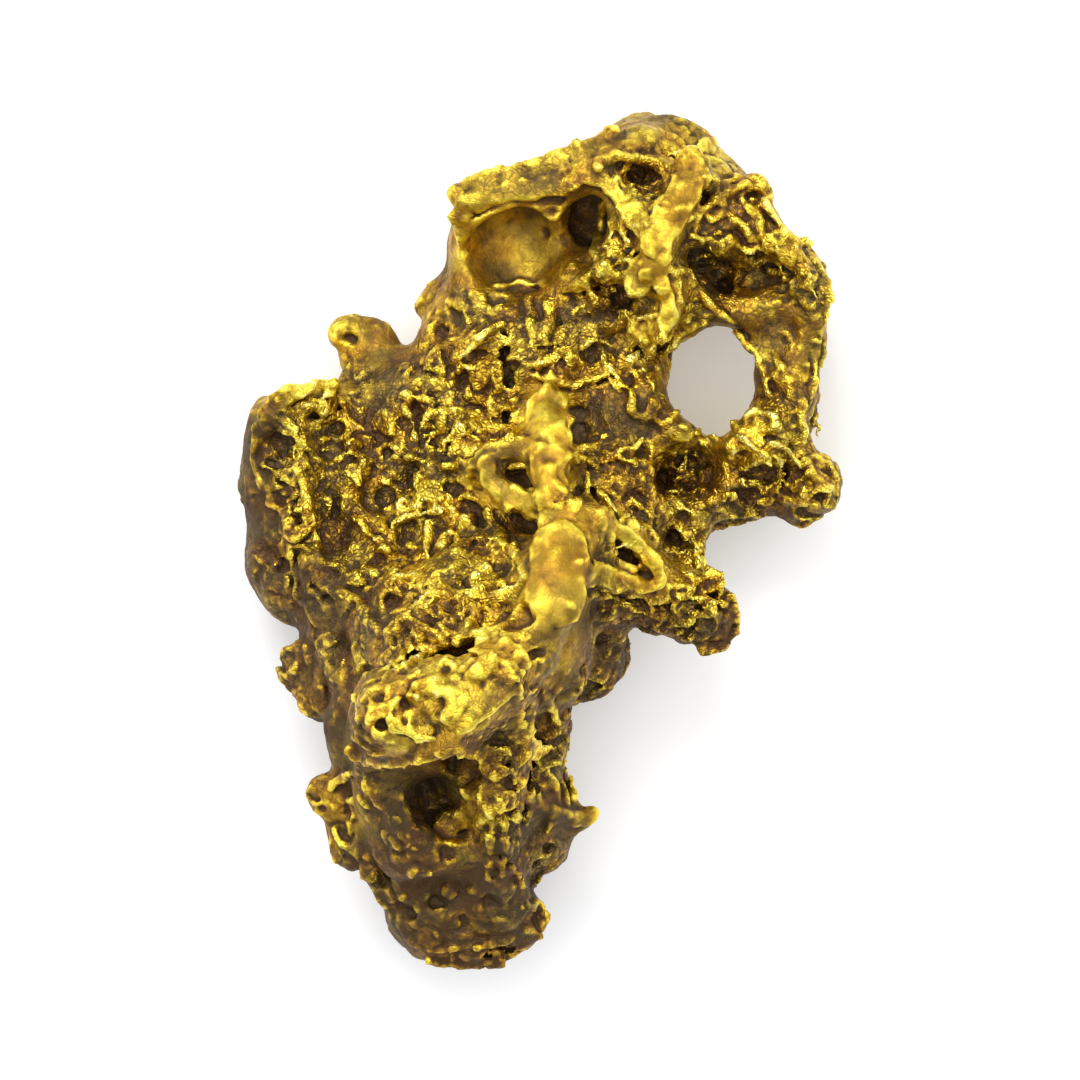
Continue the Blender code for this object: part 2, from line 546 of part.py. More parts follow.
def build_nugget(parts, cutters):
    """Build the nugget: melt the mass together, cut the pits, roughen the skin, and thin it."""
    lumps = HEAD_LUMPS + ARM_LUMPS + BED_LUMPS + LEFT_LUMPS + LOWER_LUMPS + FOOT_LUMPS
    ridges = (HEAD_RIDGES + ARM_RIDGES + STAR_RIDGES + RIGHT_ARM_RIDGES + LEFT_RIDGES
              + LOWER_RIDGES)
    nugget = add_object("nugget", mass_mesh("nugget", lumps, ridges), parts)
    add_remesh(nugget, BODY_GRAIN)
    add_smooth(nugget, 2)
    apply_modifiers(nugget)

    rng = Random(CRUMB_SEED)
    join_into(nugget, crumb_mesh("nubs", nugget.data, NUB_COUNT, NUB_SIZES, NUB_LIFT, rng))
    add_remesh(nugget, SKIN_GRAIN)
    apply_modifiers(nugget)

    pits = pit_cutter(cutters, nugget.data, rng)
    hide_cutter(pits)
    add_cut(nugget, pits)
    add_remesh(nugget, SKIN_GRAIN)
    add_smooth(nugget, 1)
    add_swelling(nugget, "swells", "CLOUDS", SWELL_SIZE, SWELL_HEIGHT)
    apply_modifiers(nugget)

    floor = floor_cutter(cutters)
    hide_cutter(floor)
    thin = nugget.modifiers.new("Thin", "DECIMATE")
    thin.ratio = TRIANGLES / (2.0 * len(nugget.data.polygons))
    thin.use_collapse_triangulate = True
    add_cut(nugget, floor)
    apply_modifiers(nugget)
    fit_to_size(nugget.data)
    nugget.data.materials.clear()
    nugget.data.materials.append(gold_material())
    nugget.data.shade_smooth()
    return nugget


def main():
    clear_scene()
    parts = new_collection("gold nugget")
    cutters = new_collection("cutters")
    build_nugget(parts, cutters)


main()
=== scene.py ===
# %% [markdown]
# # Dressing a gold nugget
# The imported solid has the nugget's real size and its main forms: the head with its cave and hole,
# the long ridge, the arm, the knobs. What it lacks is the skin of real gold, which was squeezed,
# dissolved and rolled in gravel: thin ribs, deep little pits, crystal grit in the beds, and
# smooth worn metal on whatever stands proud. This lesson makes that skin as one new surface.

import bpy
import numpy as np
import openvdb
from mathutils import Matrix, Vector


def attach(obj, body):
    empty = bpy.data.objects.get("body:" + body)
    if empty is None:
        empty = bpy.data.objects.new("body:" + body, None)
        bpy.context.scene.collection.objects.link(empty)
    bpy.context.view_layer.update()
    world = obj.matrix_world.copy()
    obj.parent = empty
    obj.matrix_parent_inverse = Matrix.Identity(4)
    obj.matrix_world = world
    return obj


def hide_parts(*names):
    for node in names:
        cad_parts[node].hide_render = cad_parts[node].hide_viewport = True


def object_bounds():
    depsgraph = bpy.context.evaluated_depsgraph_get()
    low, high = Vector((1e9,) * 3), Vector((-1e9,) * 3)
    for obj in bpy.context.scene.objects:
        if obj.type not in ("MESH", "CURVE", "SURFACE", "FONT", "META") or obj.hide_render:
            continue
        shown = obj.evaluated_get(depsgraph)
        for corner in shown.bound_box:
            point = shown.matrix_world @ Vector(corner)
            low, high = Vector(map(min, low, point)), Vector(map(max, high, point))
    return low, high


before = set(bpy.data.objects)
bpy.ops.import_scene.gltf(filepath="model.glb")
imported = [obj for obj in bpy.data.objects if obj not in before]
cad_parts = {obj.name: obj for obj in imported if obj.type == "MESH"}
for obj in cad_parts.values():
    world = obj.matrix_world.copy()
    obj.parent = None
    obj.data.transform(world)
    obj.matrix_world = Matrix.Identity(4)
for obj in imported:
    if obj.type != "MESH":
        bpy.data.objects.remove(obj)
cad_low, cad_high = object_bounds()
MM = 0.001
BOX_LOW = np.array(cad_low) / MM
BOX_HIGH = np.array(cad_high) / MM
print("solid, in mm, from", BOX_LOW.round(2), "to", BOX_HIGH.round(2))

# %% [markdown]
# ## A block of space to carve in
# A nugget folds over itself, so its skin can't be one height above a floor. A sculptor's way
# round that is a distance field: a block of little cells, each of which knows how far it is from
# the skin, less than nothing when inside. Adding gold is a minimum, cutting is a maximum, and the
# skin is wherever the field is nought. All of it is plain array arithmetic. A Displace modifier
# could roughen the solid too, but it only pushes each face along its own normal, so it can't
# open a pit that undercuts or melt one rib into the next.
#
# The solid's flat triangles are about 0.4 mm wide, so it is first laid into coarse cells, and
# averaging each cell with its neighbours melts the edges away, as tumbling in a river does.

# %% Turn the solid into a coarse field
COARSE = 0.12
MARGIN = 5
BAND = 9.0
ORIGIN = BOX_LOW - MARGIN * COARSE
COARSE_SHAPE = tuple(np.ceil((BOX_HIGH - BOX_LOW) / COARSE).astype(int) + 2 * MARGIN)


def corners_and_triangles(mesh):
    """Return a mesh's vertex places and its triangles' corner numbers, as arrays."""
    points = np.empty(len(mesh.vertices) * 3, np.float32)
    mesh.vertices.foreach_get("co", points)
    mesh.calc_loop_triangles()
    corners = np.empty(len(mesh.loop_triangles) * 3, np.int32)
    mesh.loop_triangles.foreach_get("vertices", corners)
    return points.reshape(-1, 3), corners.reshape(-1, 3).astype(np.uint32)


def field_of(mesh):
    """Distance from each cell to the mesh in millimetres, negative inside, cut off at the band."""
    points, triangles = corners_and_triangles(mesh)
    in_cells = ((points / MM - ORIGIN) / COARSE).astype(np.float32)
    grid = openvdb.FloatGrid.createLevelSetFromPolygons(
        in_cells, triangles=triangles, halfWidth=BAND)
    field = np.empty(COARSE_SHAPE, np.float32)
    grid.copyToArray(field)
    return field * COARSE


def blurred(values, reach, times=2):
    """Mean over a cube that reaches so many cells each way, by running sums, repeated."""
    width = 2 * reach + 1
    for _ in range(times):
        for axis in range(3):
            padded = np.concatenate([
                np.repeat(np.take(values, [0], axis), reach + 1, axis), values,
                np.repeat(np.take(values, [-1], axis), reach, axis)], axis)
            sums = np.cumsum(padded, axis, dtype=np.float64)
            upper = np.take(sums, range(width, sums.shape[axis]), axis)
            lower = np.take(sums, range(0, sums.shape[axis] - width), axis)
            values = ((upper - lower) / width).astype(np.float32)
    return values


field = blurred(field_of(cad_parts["nugget"].data), 1)
print("coarse block of", COARSE_SHAPE, "cells")

# %% [markdown]
# Ribs as thin as 0.2 mm need smaller cells. Halving them keeps every value and puts the mean of
# two neighbours between them.

# %% Halve the cells
CELL = COARSE / 2


def halved(values):
    """The same field with a new cell between each two neighbours, along all three axes."""
    for axis in range(3):
        count = values.shape[axis]
        first = np.take(values, range(count - 1), axis)
        second = np.take(values, range(1, count), axis)
        pairs = np.stack([first, (first + second) / 2], axis + 1)
        flat = list(values.shape)
        flat[axis] = 2 * (count - 1)
        values = np.concatenate([pairs.reshape(flat), np.take(values, [count - 1], axis)], axis)
    return values


field = halved(field)
SHAPE = field.shape
AXES = [(ORIGIN[i] + CELL * np.arange(SHAPE[i])).astype(np.float32) for i in range(3)]
print("fine block of", SHAPE, "cells,", int((field < 0).sum() * CELL ** 3), "cubic mm of gold")

# %% [markdown]
# ## Forms that can be named
# The forms below are told in plan, in millimetres from the middle of the nugget, because that is
# how one reads a thing from above. Their height is found by looking down onto the field. A thin
# rib is a round bar that stands so far out of the skin, and a wide one is a ribbon, which is
# flatter than it is wide, as a rubbed ridge is. A groove is a bar taken away, a pit is an egg
# taken away, and a bead is an egg that stands out. Where gold meets gold the corner is melted,
# by a smooth minimum, the way the real skin flows from one form into the next.
#
# No real rib is straight and no real pit is round, so the space that they are laid in is bent
# first, by rolling noise: a random slope at every corner of a lattice, blended between them.

# %% Rolling noise
TABLE = 32
ROLLING_GAIN = 1.6


def rolling_noise(points, size, seed):
    """Blend of random slopes at the lattice corners round each point, about -1 to 1."""
    slopes = np.random.default_rng(seed).normal(size=(TABLE, TABLE, TABLE, 3)).astype(np.float32)
    slopes /= np.linalg.norm(slopes, axis=3, keepdims=True)
    place = (points / size).astype(np.float32)
    corner = np.floor(place).astype(np.int32)
    part = place - corner
    fade = part * part * part * (part * (part * 6 - 15) + 10)
    total = np.zeros(len(points), np.float32)
    for dx, dy, dz in np.ndindex(2, 2, 2):
        step = np.array((dx, dy, dz), np.int32)
        at = (corner + step) % TABLE
        slope = slopes[at[:, 0], at[:, 1], at[:, 2]]
        rise = np.einsum("ij,ij->i", slope, part - step)
        total += rise * np.prod(np.where(step, fade, 1 - fade), axis=1)
    return total * ROLLING_GAIN


print("rolling noise at three places:", rolling_noise(0.7 * np.eye(3), 1.0, 0).round(2))

# %% Bend the space
BEND_SIZE = 0.45
BEND = 0.10
BEND_SEED = 30
coarse_axes = [ORIGIN[i] + COARSE * np.arange(COARSE_SHAPE[i]) for i in range(3)]
coarse_spots = np.stack(np.meshgrid(*coarse_axes, indexing="ij"), axis=-1).reshape(-1, 3)
bend = np.stack([
    halved(rolling_noise(coarse_spots, BEND_SIZE, BEND_SEED + i).reshape(COARSE_SHAPE))
    for i in range(3)], axis=-1) * BEND
print("space bent by up to", float(np.abs(bend).max().round(2)), "mm")

# %% [markdown]
# ### Looking down, and shapes as distances
# The height of the skin below a spot is the median of the cells round it, so that one pit or
# crumb doesn't lift or sink a rib. A shape only changes the cells in a small window round it,
# which is what makes some three hundred of them quick to lay.

# %% Look down onto the gold
NEIGHBOURS = 2


def skin_height(values):
    """Height of the topmost cell of gold over each spot of the plan."""
    inside = values < 0
    top = SHAPE[2] - 1 - np.argmax(inside[:, :, ::-1], axis=2)
    return np.where(inside.any(axis=2), ORIGIN[2] + CELL * (top + 0.5), 0.0)


def height_at(heights, x, y, reach=0.0):
    """Height of the skin below a spot of the plan, as the median of the gold cells round it."""
    step = NEIGHBOURS + int(reach / CELL)
    i = int(np.clip(round((x - ORIGIN[0]) / CELL), step, SHAPE[0] - 1 - step))
    j = int(np.clip(round((y - ORIGIN[1]) / CELL), step, SHAPE[1] - 1 - step))
    patch = heights[i - step:i + step + 1, j - step:j + step + 1]
    return float(np.median(patch[patch > 0])) if (patch > 0).any() else 0.0


def window(low, high):
    """Slices of the block round a box, and the bent places of the cells in it."""
    first = np.clip(((low - ORIGIN) / CELL).astype(int), 0, np.array(SHAPE) - 1)
    last = np.clip(((high - ORIGIN) / CELL).astype(int) + 2, 1, np.array(SHAPE))
    cut = tuple(slice(a, b) for a, b in zip(first, last))
    places = np.meshgrid(*(AXES[i][cut[i]] for i in range(3)), indexing="ij")
    return cut, np.stack(places, axis=-1) + bend[cut]


print("gold at the middle is", round(height_at(skin_height(field), 0.0, 0.0), 2), "mm high")

# %% Bars and eggs
FAR = 9.0
FLATNESS = 0.55
SQUARENESS = 3


def melt(a, b, blend):
    """Smaller of two distances, with the corner between them rounded over the blend."""
    share = np.clip(0.5 + 0.5 * (b - a) / blend, 0, 1)
    return b * (1 - share) + a * share - blend * share * (1 - share)


def bar_field(cells, start, end, radius):
    """Distance to a round bar: how far a cell is from the line through it, less its radius."""
    line = end - start
    along = np.clip((cells - start) @ line / max(line @ line, 1e-9), 0, 1)
    return np.linalg.norm(cells - start - along[..., None] * line, axis=-1) - radius


def ribbon_field(cells, places, radius):
    """Distance to a ribbon: the cube root of the sum of the cubes of how far a cell is aside of
    its line and above it, each as a share of the ribbon's half width and half height, less one."""
    aside = np.full(cells.shape[:-1], FAR)
    above = np.zeros(cells.shape[:-1])
    for start, end in zip(places, places[1:]):
        line = (end - start)[:2]
        away = cells - start
        along = np.clip(away[..., :2] @ line / max(line @ line, 1e-9), 0, 1)
        gap = np.linalg.norm(away[..., :2] - along[..., None] * line, axis=-1)
        above = np.where(gap < aside, away[..., 2] - along * (end - start)[2], above)
        aside = np.minimum(aside, gap)
    depth = FLATNESS * radius
    total = (aside / radius) ** SQUARENESS + np.abs(above / depth) ** SQUARENESS
    return (total ** (1 / SQUARENESS) - 1) * depth


def egg_field(cells, centre, half_sizes, turn):
    """Distance to an egg, near enough: its scaled radius less one, times its least half size."""
    angle = np.radians(turn)
    away = cells - centre
    x = away[..., 0] * np.cos(angle) + away[..., 1] * np.sin(angle)
    y = away[..., 1] * np.cos(angle) - away[..., 0] * np.sin(angle)
    scaled = np.stack([x, y, away[..., 2]], axis=-1) / half_sizes
    return (np.linalg.norm(scaled, axis=-1) - 1) * half_sizes.min()


def join(values, cut, shape, blend):
    """Add a shape to the gold in one window of the block."""
    values[cut] = melt(values[cut], shape.astype(np.float32), blend)


def carve(values, cut, shape, blend):
    """Take a shape out of the gold in one window of the block."""
    values[cut] = -melt(-values[cut], shape.astype(np.float32), blend)


print("two skins 0.02 mm apart melt to", round(float(melt(0.0, 0.02, 0.1)), 4), "mm")

# %% Put bars and eggs on the skin
REACH = 0.35
RIBBON_LOOK = 0.8


def lay_bar(values, heights, act, radius, level, plan, blend):
    """Join or carve a bar along a line in plan, its middle at a level above the skin."""
    places = [np.array((x, y, height_at(heights, x, y) + level)) for x, y in plan]
    for start, end in zip(places, places[1:]):
        low = np.minimum(start, end) - radius - REACH
        high = np.maximum(start, end) + radius + REACH
        cut, cells = window(low, high)
        act(values, cut, bar_field(cells, start, end, radius), blend)


def lay_ribbon(values, heights, act, radius, level, plan, blend):
    """Join a ribbon along a line in plan, its middle at a level above the skin."""
    look = RIBBON_LOOK * radius
    places = np.array([(x, y, height_at(heights, x, y, look) + level) for x, y in plan])
    cut, cells = window(places.min(0) - radius - REACH, places.max(0) + radius + REACH)
    act(values, cut, ribbon_field(cells, places, radius), blend)


def lay_egg(values, heights, act, spot, half_sizes, turn, level, blend):
    """Join or carve an egg at a spot in plan, its middle at a level above the skin."""
    centre = np.array((*spot, height_at(heights, *spot) + level))
    half = np.array(half_sizes)
    cut, cells = window(centre - half.max() - REACH, centre + half.max() + REACH)
    act(values, cut, egg_field(cells, centre, half, turn), blend)


print("each shape is worked out", REACH, "mm past its edge")

# %% [markdown]
# ### Pits and grooves
# Gold grew round crystals of quartz that have since gone, and each left a pit. They are listed
# from the head down to the toe, by the place they are in, and each has its own size and turn,
# because a scatter of equal pits would look drilled.

# %% The pits: place, middle, half width, half length and half depth, and the turn in degrees
PITS = (
    ("brow pit", (2.55, 9.18), (0.53, 0.3, 0.45), -8),
    ("brow small", (2.05, 9.43), (0.12, 0.15, 0.22), 0),
    ("right chamber", (1.25, 8.1), (0.53, 0.75, 0.45), 0),
    ("spur", (0.3, 8.15), (0.12, 0.12, 0.15), 0),
    ("spur", (0.12, 7.7), (0.1, 0.1, 0.12), 0),
    ("spur", (0.65, 7.5), (0.1, 0.1, 0.12), 0),
    ("facet pit", (2.42, 7.15), (0.25, 0.1, 0.21), -35),
    ("facet small", (1.85, 7.58), (0.12, 0.07, 0.11), 0),
    ("bulge pit", (1.8, 6.15), (0.57, 0.35, 0.45), -15),
    ("bulge deep", (2.12, 6.03), (0.3, 0.2, 0.6), 0),
    ("bulge side", (2.75, 6.22), (0.2, 0.15, 0.26), 0),
    ("cap pit", (4.12, 8.47), (0.2, 0.38, 0.34), 25),
    ("cap small", (5.17, 8.5), (0.17, 0.12, 0.22), 0),
    ("cap edge", (5.47, 8.55), (0.15, 0.15, 0.22), 0),
    ("cave left", (3.92, 7.15), (0.6, 0.23, 0.41), 8),
    ("cave mid", (4.6, 6.5), (0.28, 0.5, 0.45), 0),
    ("cave right", (5.42, 7.15), (0.25, 0.2, 0.34), 0),
    ("cave foot", (3.2, 6.85), (0.23, 0.2, 0.26), 0),
    ("rim pit", (6.12, 6.33), (0.23, 0.17, 0.22), 0),
    ("rim pit", (6.88, 6.15), (0.23, 0.2, 0.22), 0),
    ("bed", (-2.48, 5.3), (0.2, 0.28, 0.26), 0),
    ("bed", (-1.0, 6.03), (0.25, 0.2, 0.22), 0),
    ("bed", (-1.65, 4.58), (0.25, 0.17, 0.21), 0),
    ("bed", (1.25, 4.65), (0.23, 0.3, 0.26), 0),
    ("bed", (2.17, 4.03), (0.2, 0.25, 0.26), 0),
    ("bed", (-1.95, 3.85), (0.12, 0.3, 0.19), -20),
    ("bed", (-1.75, 3.4), (0.33, 0.15, 0.22), 0),
    ("bed", (-1.3, 3.33), (0.17, 0.12, 0.19), 0),
    ("bed", (1.0, 3.23), (0.2, 0.2, 0.22), 0),
    ("bed", (0.97, 2.7), (0.23, 0.28, 0.26), 0),
    ("bed", (-2.05, 2.6), (0.15, 0.12, 0.15), 0),
    ("bed", (-2.7, 2.9), (0.23, 0.2, 0.19), 0),
    ("bed", (0.5, 5.45), (0.15, 0.15, 0.15), 0),
    ("web pit", (5.12, 2.08), (0.25, 0.2, 0.34), 0),
    ("web pit", (5.65, 1.65), (0.55, 0.38, 0.38), 0),
    ("web pit", (5.3, 1.2), (0.33, 0.23, 0.3), 0),
    ("web pit", (3.12, 1.6), (0.28, 0.25, 0.38), 0),
    ("web pit", (3.75, 2.05), (0.6, 0.3, 0.26), 0),
    ("web pit", (2.62, 2.12), (0.2, 0.23, 0.26), 0),
    ("web pit", (3.65, 1.45), (0.17, 0.15, 0.22), 0),
    ("web slot", (3.38, 0.05), (0.2, 0.42, 0.41), 35),
    ("bridge", (5.7, 3.75), (0.15, 0.15, 0.21), 0),
    ("bridge", (6.33, 3.75), (0.12, 0.15, 0.21), 0),
    ("bridge", (5.75, 2.55), (0.17, 0.1, 0.19), 0),
    ("bridge", (5.4, 3.3), (0.15, 0.12, 0.19), 0),
    ("knob pit", (6.5, 1.75), (0.17, 0.15, 0.22), 0),
    ("knob pit", (7.05, 1.07), (0.2, 0.2, 0.22), 0),
    ("knob pit", (7.2, 1.75), (0.15, 0.1, 0.15), 0),
    ("eye", (-0.5, 1.55), (0.6, 0.3, 0.52), -15),
    ("round pit", (0.8, 1.75), (0.23, 0.25, 0.3), 0),
    ("star pit", (0.6, 0.97), (0.23, 0.12, 0.26), 0),
    ("star pit", (0.95, 1.25), (0.12, 0.2, 0.19), 0),
    ("nose pit", (-0.33, 0.4), (0.53, 0.23, 0.41), -22),
    ("nose side", (0.12, 0.15), (0.25, 0.17, 0.26), -20),
    ("arm small", (1.77, 0.33), (0.2, 0.17, 0.26), 0),
    ("arm long", (2.12, -0.23), (0.23, 0.5, 0.34), 42),
    ("arm pit", (1.18, -0.15), (0.47, 0.2, 0.3), -25),
    ("arm slot", (2.52, -0.9), (0.33, 0.1, 0.22), -15),
    ("end pit", (4.4, -1.3), (0.12, 0.15, 0.19), 0),
    ("end pit", (4.05, -1.68), (0.2, 0.1, 0.19), 0),
    ("end pit", (5.0, -2.2), (0.15, 0.12, 0.19), 0),
    ("ring pit", (-0.95, -0.7), (0.28, 0.23, 0.38), 0),
    ("dark bed", (-1.75, 0.8), (0.4, 0.23, 0.3), -25),
    ("dark bed", (-2.1, 1.3), (0.25, 0.15, 0.22), 0),
    ("dark bed", (-1.45, 0.5), (0.2, 0.15, 0.22), 0),
    ("lobe pit", (-0.5, -1.85), (0.5, 0.35, 0.45), 0),
    ("lobe dot", (0.42, -2.05), (0.15, 0.17, 0.26), 0),
    ("lobe side", (-0.05, -2.8), (0.3, 0.17, 0.3), 20),
    ("black pit", (-3.65, -1.5), (0.23, 0.23, 0.41), 0),
    ("black small", (-3.23, -1.82), (0.15, 0.12, 0.22), -30),
    ("left bed", (-5.12, 2.8), (0.35, 0.23, 0.3), 0),
    ("left bed", (-5.5, 3.12), (0.2, 0.1, 0.22), 0),
    ("left bed", (-6.42, 2.35), (0.4, 0.38, 0.26), 0),
    ("left bed", (-3.35, 1.55), (0.42, 0.38, 0.34), 0),
    ("left bed", (-3.85, 1.05), (0.3, 0.23, 0.38), 30),
    ("left bed", (-5.08, 0.75), (0.15, 0.33, 0.34), 0),
    ("left bed", (-4.12, -0.5), (0.23, 0.12, 0.22), 30),
    ("left bed", (-3.23, -0.9), (0.2, 0.15, 0.22), 0),
    ("left bed", (-4.88, 0.0), (0.2, 0.12, 0.19), 0),
    ("left bed", (-3.88, 0.12), (0.25, 0.15, 0.19), 0),
    ("left bed", (-6.0, 1.25), (0.2, 0.15, 0.19), 0),
    ("left bed", (-6.62, 0.5), (0.15, 0.2, 0.22), 0),
    ("left bed", (-6.42, -0.62), (0.17, 0.25, 0.22), 0),
    ("left bed", (-5.38, 2.12), (0.17, 0.12, 0.19), 0),
    ("back fold", (-4.7, 5.08), (0.2, 0.12, 0.19), 0),
    ("lump", (-4.0, -3.8), (0.15, 0.15, 0.19), 0),
    ("lump", (-3.88, -4.55), (0.17, 0.15, 0.19), 0),
    ("lump", (-2.3, -3.2), (0.17, 0.12, 0.19), 0),
    ("lump", (-3.25, -4.05), (0.15, 0.12, 0.15), 0),
    ("knob dot", (-4.95, -4.47), (0.15, 0.17, 0.22), 0),
    ("wall cave", (-2.90, -6.15), (0.48, 0.60, 0.30), 20),
    ("wall cave low", (-2.50, -6.90), (0.40, 0.60, 0.45), -25),
    ("wall cave deep", (-2.75, -6.45), (0.30, 0.50, 0.45), 10),
    ("wall cave", (-2.12, -5.55), (0.23, 0.4, 0.38), 0),
    ("wall", (-1.1, -4.95), (0.3, 0.38, 0.26), 0),
    ("wall", (-0.75, -5.9), (0.15, 0.25, 0.26), 0),
    ("wall", (-2.2, -7.75), (0.35, 0.2, 0.3), 0),
    ("wall", (-1.2, -9.0), (0.35, 0.23, 0.34), 0),
    ("wall", (-3.4, -9.32), (0.33, 0.25, 0.3), 0),
    ("wall", (-3.9, -8.45), (0.25, 0.42, 0.3), 0),
    ("wall", (-1.9, -9.45), (0.17, 0.17, 0.26), 0),
    ("wall", (-2.6, -9.0), (0.25, 0.17, 0.22), 0),
    ("wall", (-3.5, -7.75), (0.25, 0.15, 0.22), 0),
    ("right side", (-0.25, -4.2), (0.15, 0.15, 0.22), 0),
    ("right side", (0.33, -4.0), (0.15, 0.23, 0.22), 20),
    ("right side", (0.68, -6.15), (0.12, 0.23, 0.22), 15),
    ("right side", (0.25, -7.75), (0.2, 0.17, 0.22), 0),
    ("right side", (-0.05, -8.12), (0.17, 0.15, 0.22), 0),
    ("right side", (-0.15, -5.3), (0.17, 0.2, 0.19), 0),
    ("knob five pit", (-5.4, -6.65), (0.12, 0.17, 0.22), 0),
    ("knob five hollow", (-4.8, -6.8), (0.3, 0.2, 0.19), 0),
    ("toe pit", (-0.05, -9.4), (0.15, 0.25, 0.26), 0),
    ("rear wall", (1.5, -2.5), (0.2, 0.15, 0.22), 0),
    ("rear wall", (1.12, -3.2), (0.17, 0.15, 0.22), 0),
    ("rear wall", (2.0, -2.75), (0.17, 0.15, 0.19), 0),
)

print(len(PITS), "pits, the widest", 2 * max(half_sizes[0] for _, _, half_sizes, _ in PITS), "mm")

# %% The grooves: place, radius, depth, and line
GROOVES = (
    ("under lip", 0.13, 0.2, ((-1.7, 8.1), (-1.12, 8.35), (-0.25, 8.43), (0.57, 8.45))),
    ("hook crevice", 0.14, 0.4, ((2.42, 4.85), (2.75, 4.85), (3.2, 4.97))),
    ("rim slot", 0.1, 0.4, ((5.78, 6.85), (6.25, 6.78), (6.67, 6.6))),
    ("crack", 0.06, 0.3, ((6.25, 5.47), (6.7, 5.58), (7.22, 5.47))),
    ("lobe crescent", 0.12, 0.45, ((-0.78, 3.48), (-0.7, 3.12), (-0.53, 2.92))),
    ("bed crevice", 0.17, 0.4, ((-0.8, 5.05), (-0.85, 4.6), (-0.68, 4.2), (-0.65, 3.8))),
    ("bed slot", 0.08, 0.25, ((-0.6, 4.05), (0.12, 3.9), (0.88, 4.05), (1.5, 4.0))),
    ("rim recess", 0.12, 0.25, ((-6.35, 3.45), (-5.95, 3.58), (-5.2, 3.77))),
    ("left groove", 0.18, 0.25, ((-6.45, 1.5), (-6.12, 0.95), (-6.0, 0.35))),
    ("left groove", 0.13, 0.2, ((-5.7, 0.05), (-5.65, -0.65))),
    ("arm under", 0.15, 0.35, ((1.0, -1.27), (1.75, -1.3), (2.5, -1.45), (3.15, -1.57))),
    ("slit", 0.07, 0.3, ((1.18, 1.48), (1.38, 1.15))),
    ("slit", 0.07, 0.28, ((1.4, 1.02), (1.6, 0.8))),
    ("lump groove", 0.26, 0.5, ((-3.4, -3.15), (-2.85, -2.9), (-2.25, -2.7), (-1.7, -2.9))),
    ("lump groove", 0.15, 0.3, ((-4.38, -3.3), (-3.9, -3.1), (-3.5, -3.2))),
    ("toe slot", 0.13, 0.4, ((-1.45, -10.32), (-0.88, -10.2), (-0.35, -10.12))),
    ("column side", 0.12, 0.25, ((-0.7, -6.0), (-0.65, -6.75), (-0.7, -7.45))),
)

print(len(GROOVES), "grooves, the deepest", max(depth for _, _, depth, _ in GROOVES), "mm")

# %% [markdown]
# ### Ribs and beads
# Ribs are what was left between the crystals. They are laid after the pits, at the height that
# the skin had before, so that a rib can cross a pit's mouth or run round its rim. The widest are
# the star on the bed, the bright ridge of the head and the ribs of the arm.

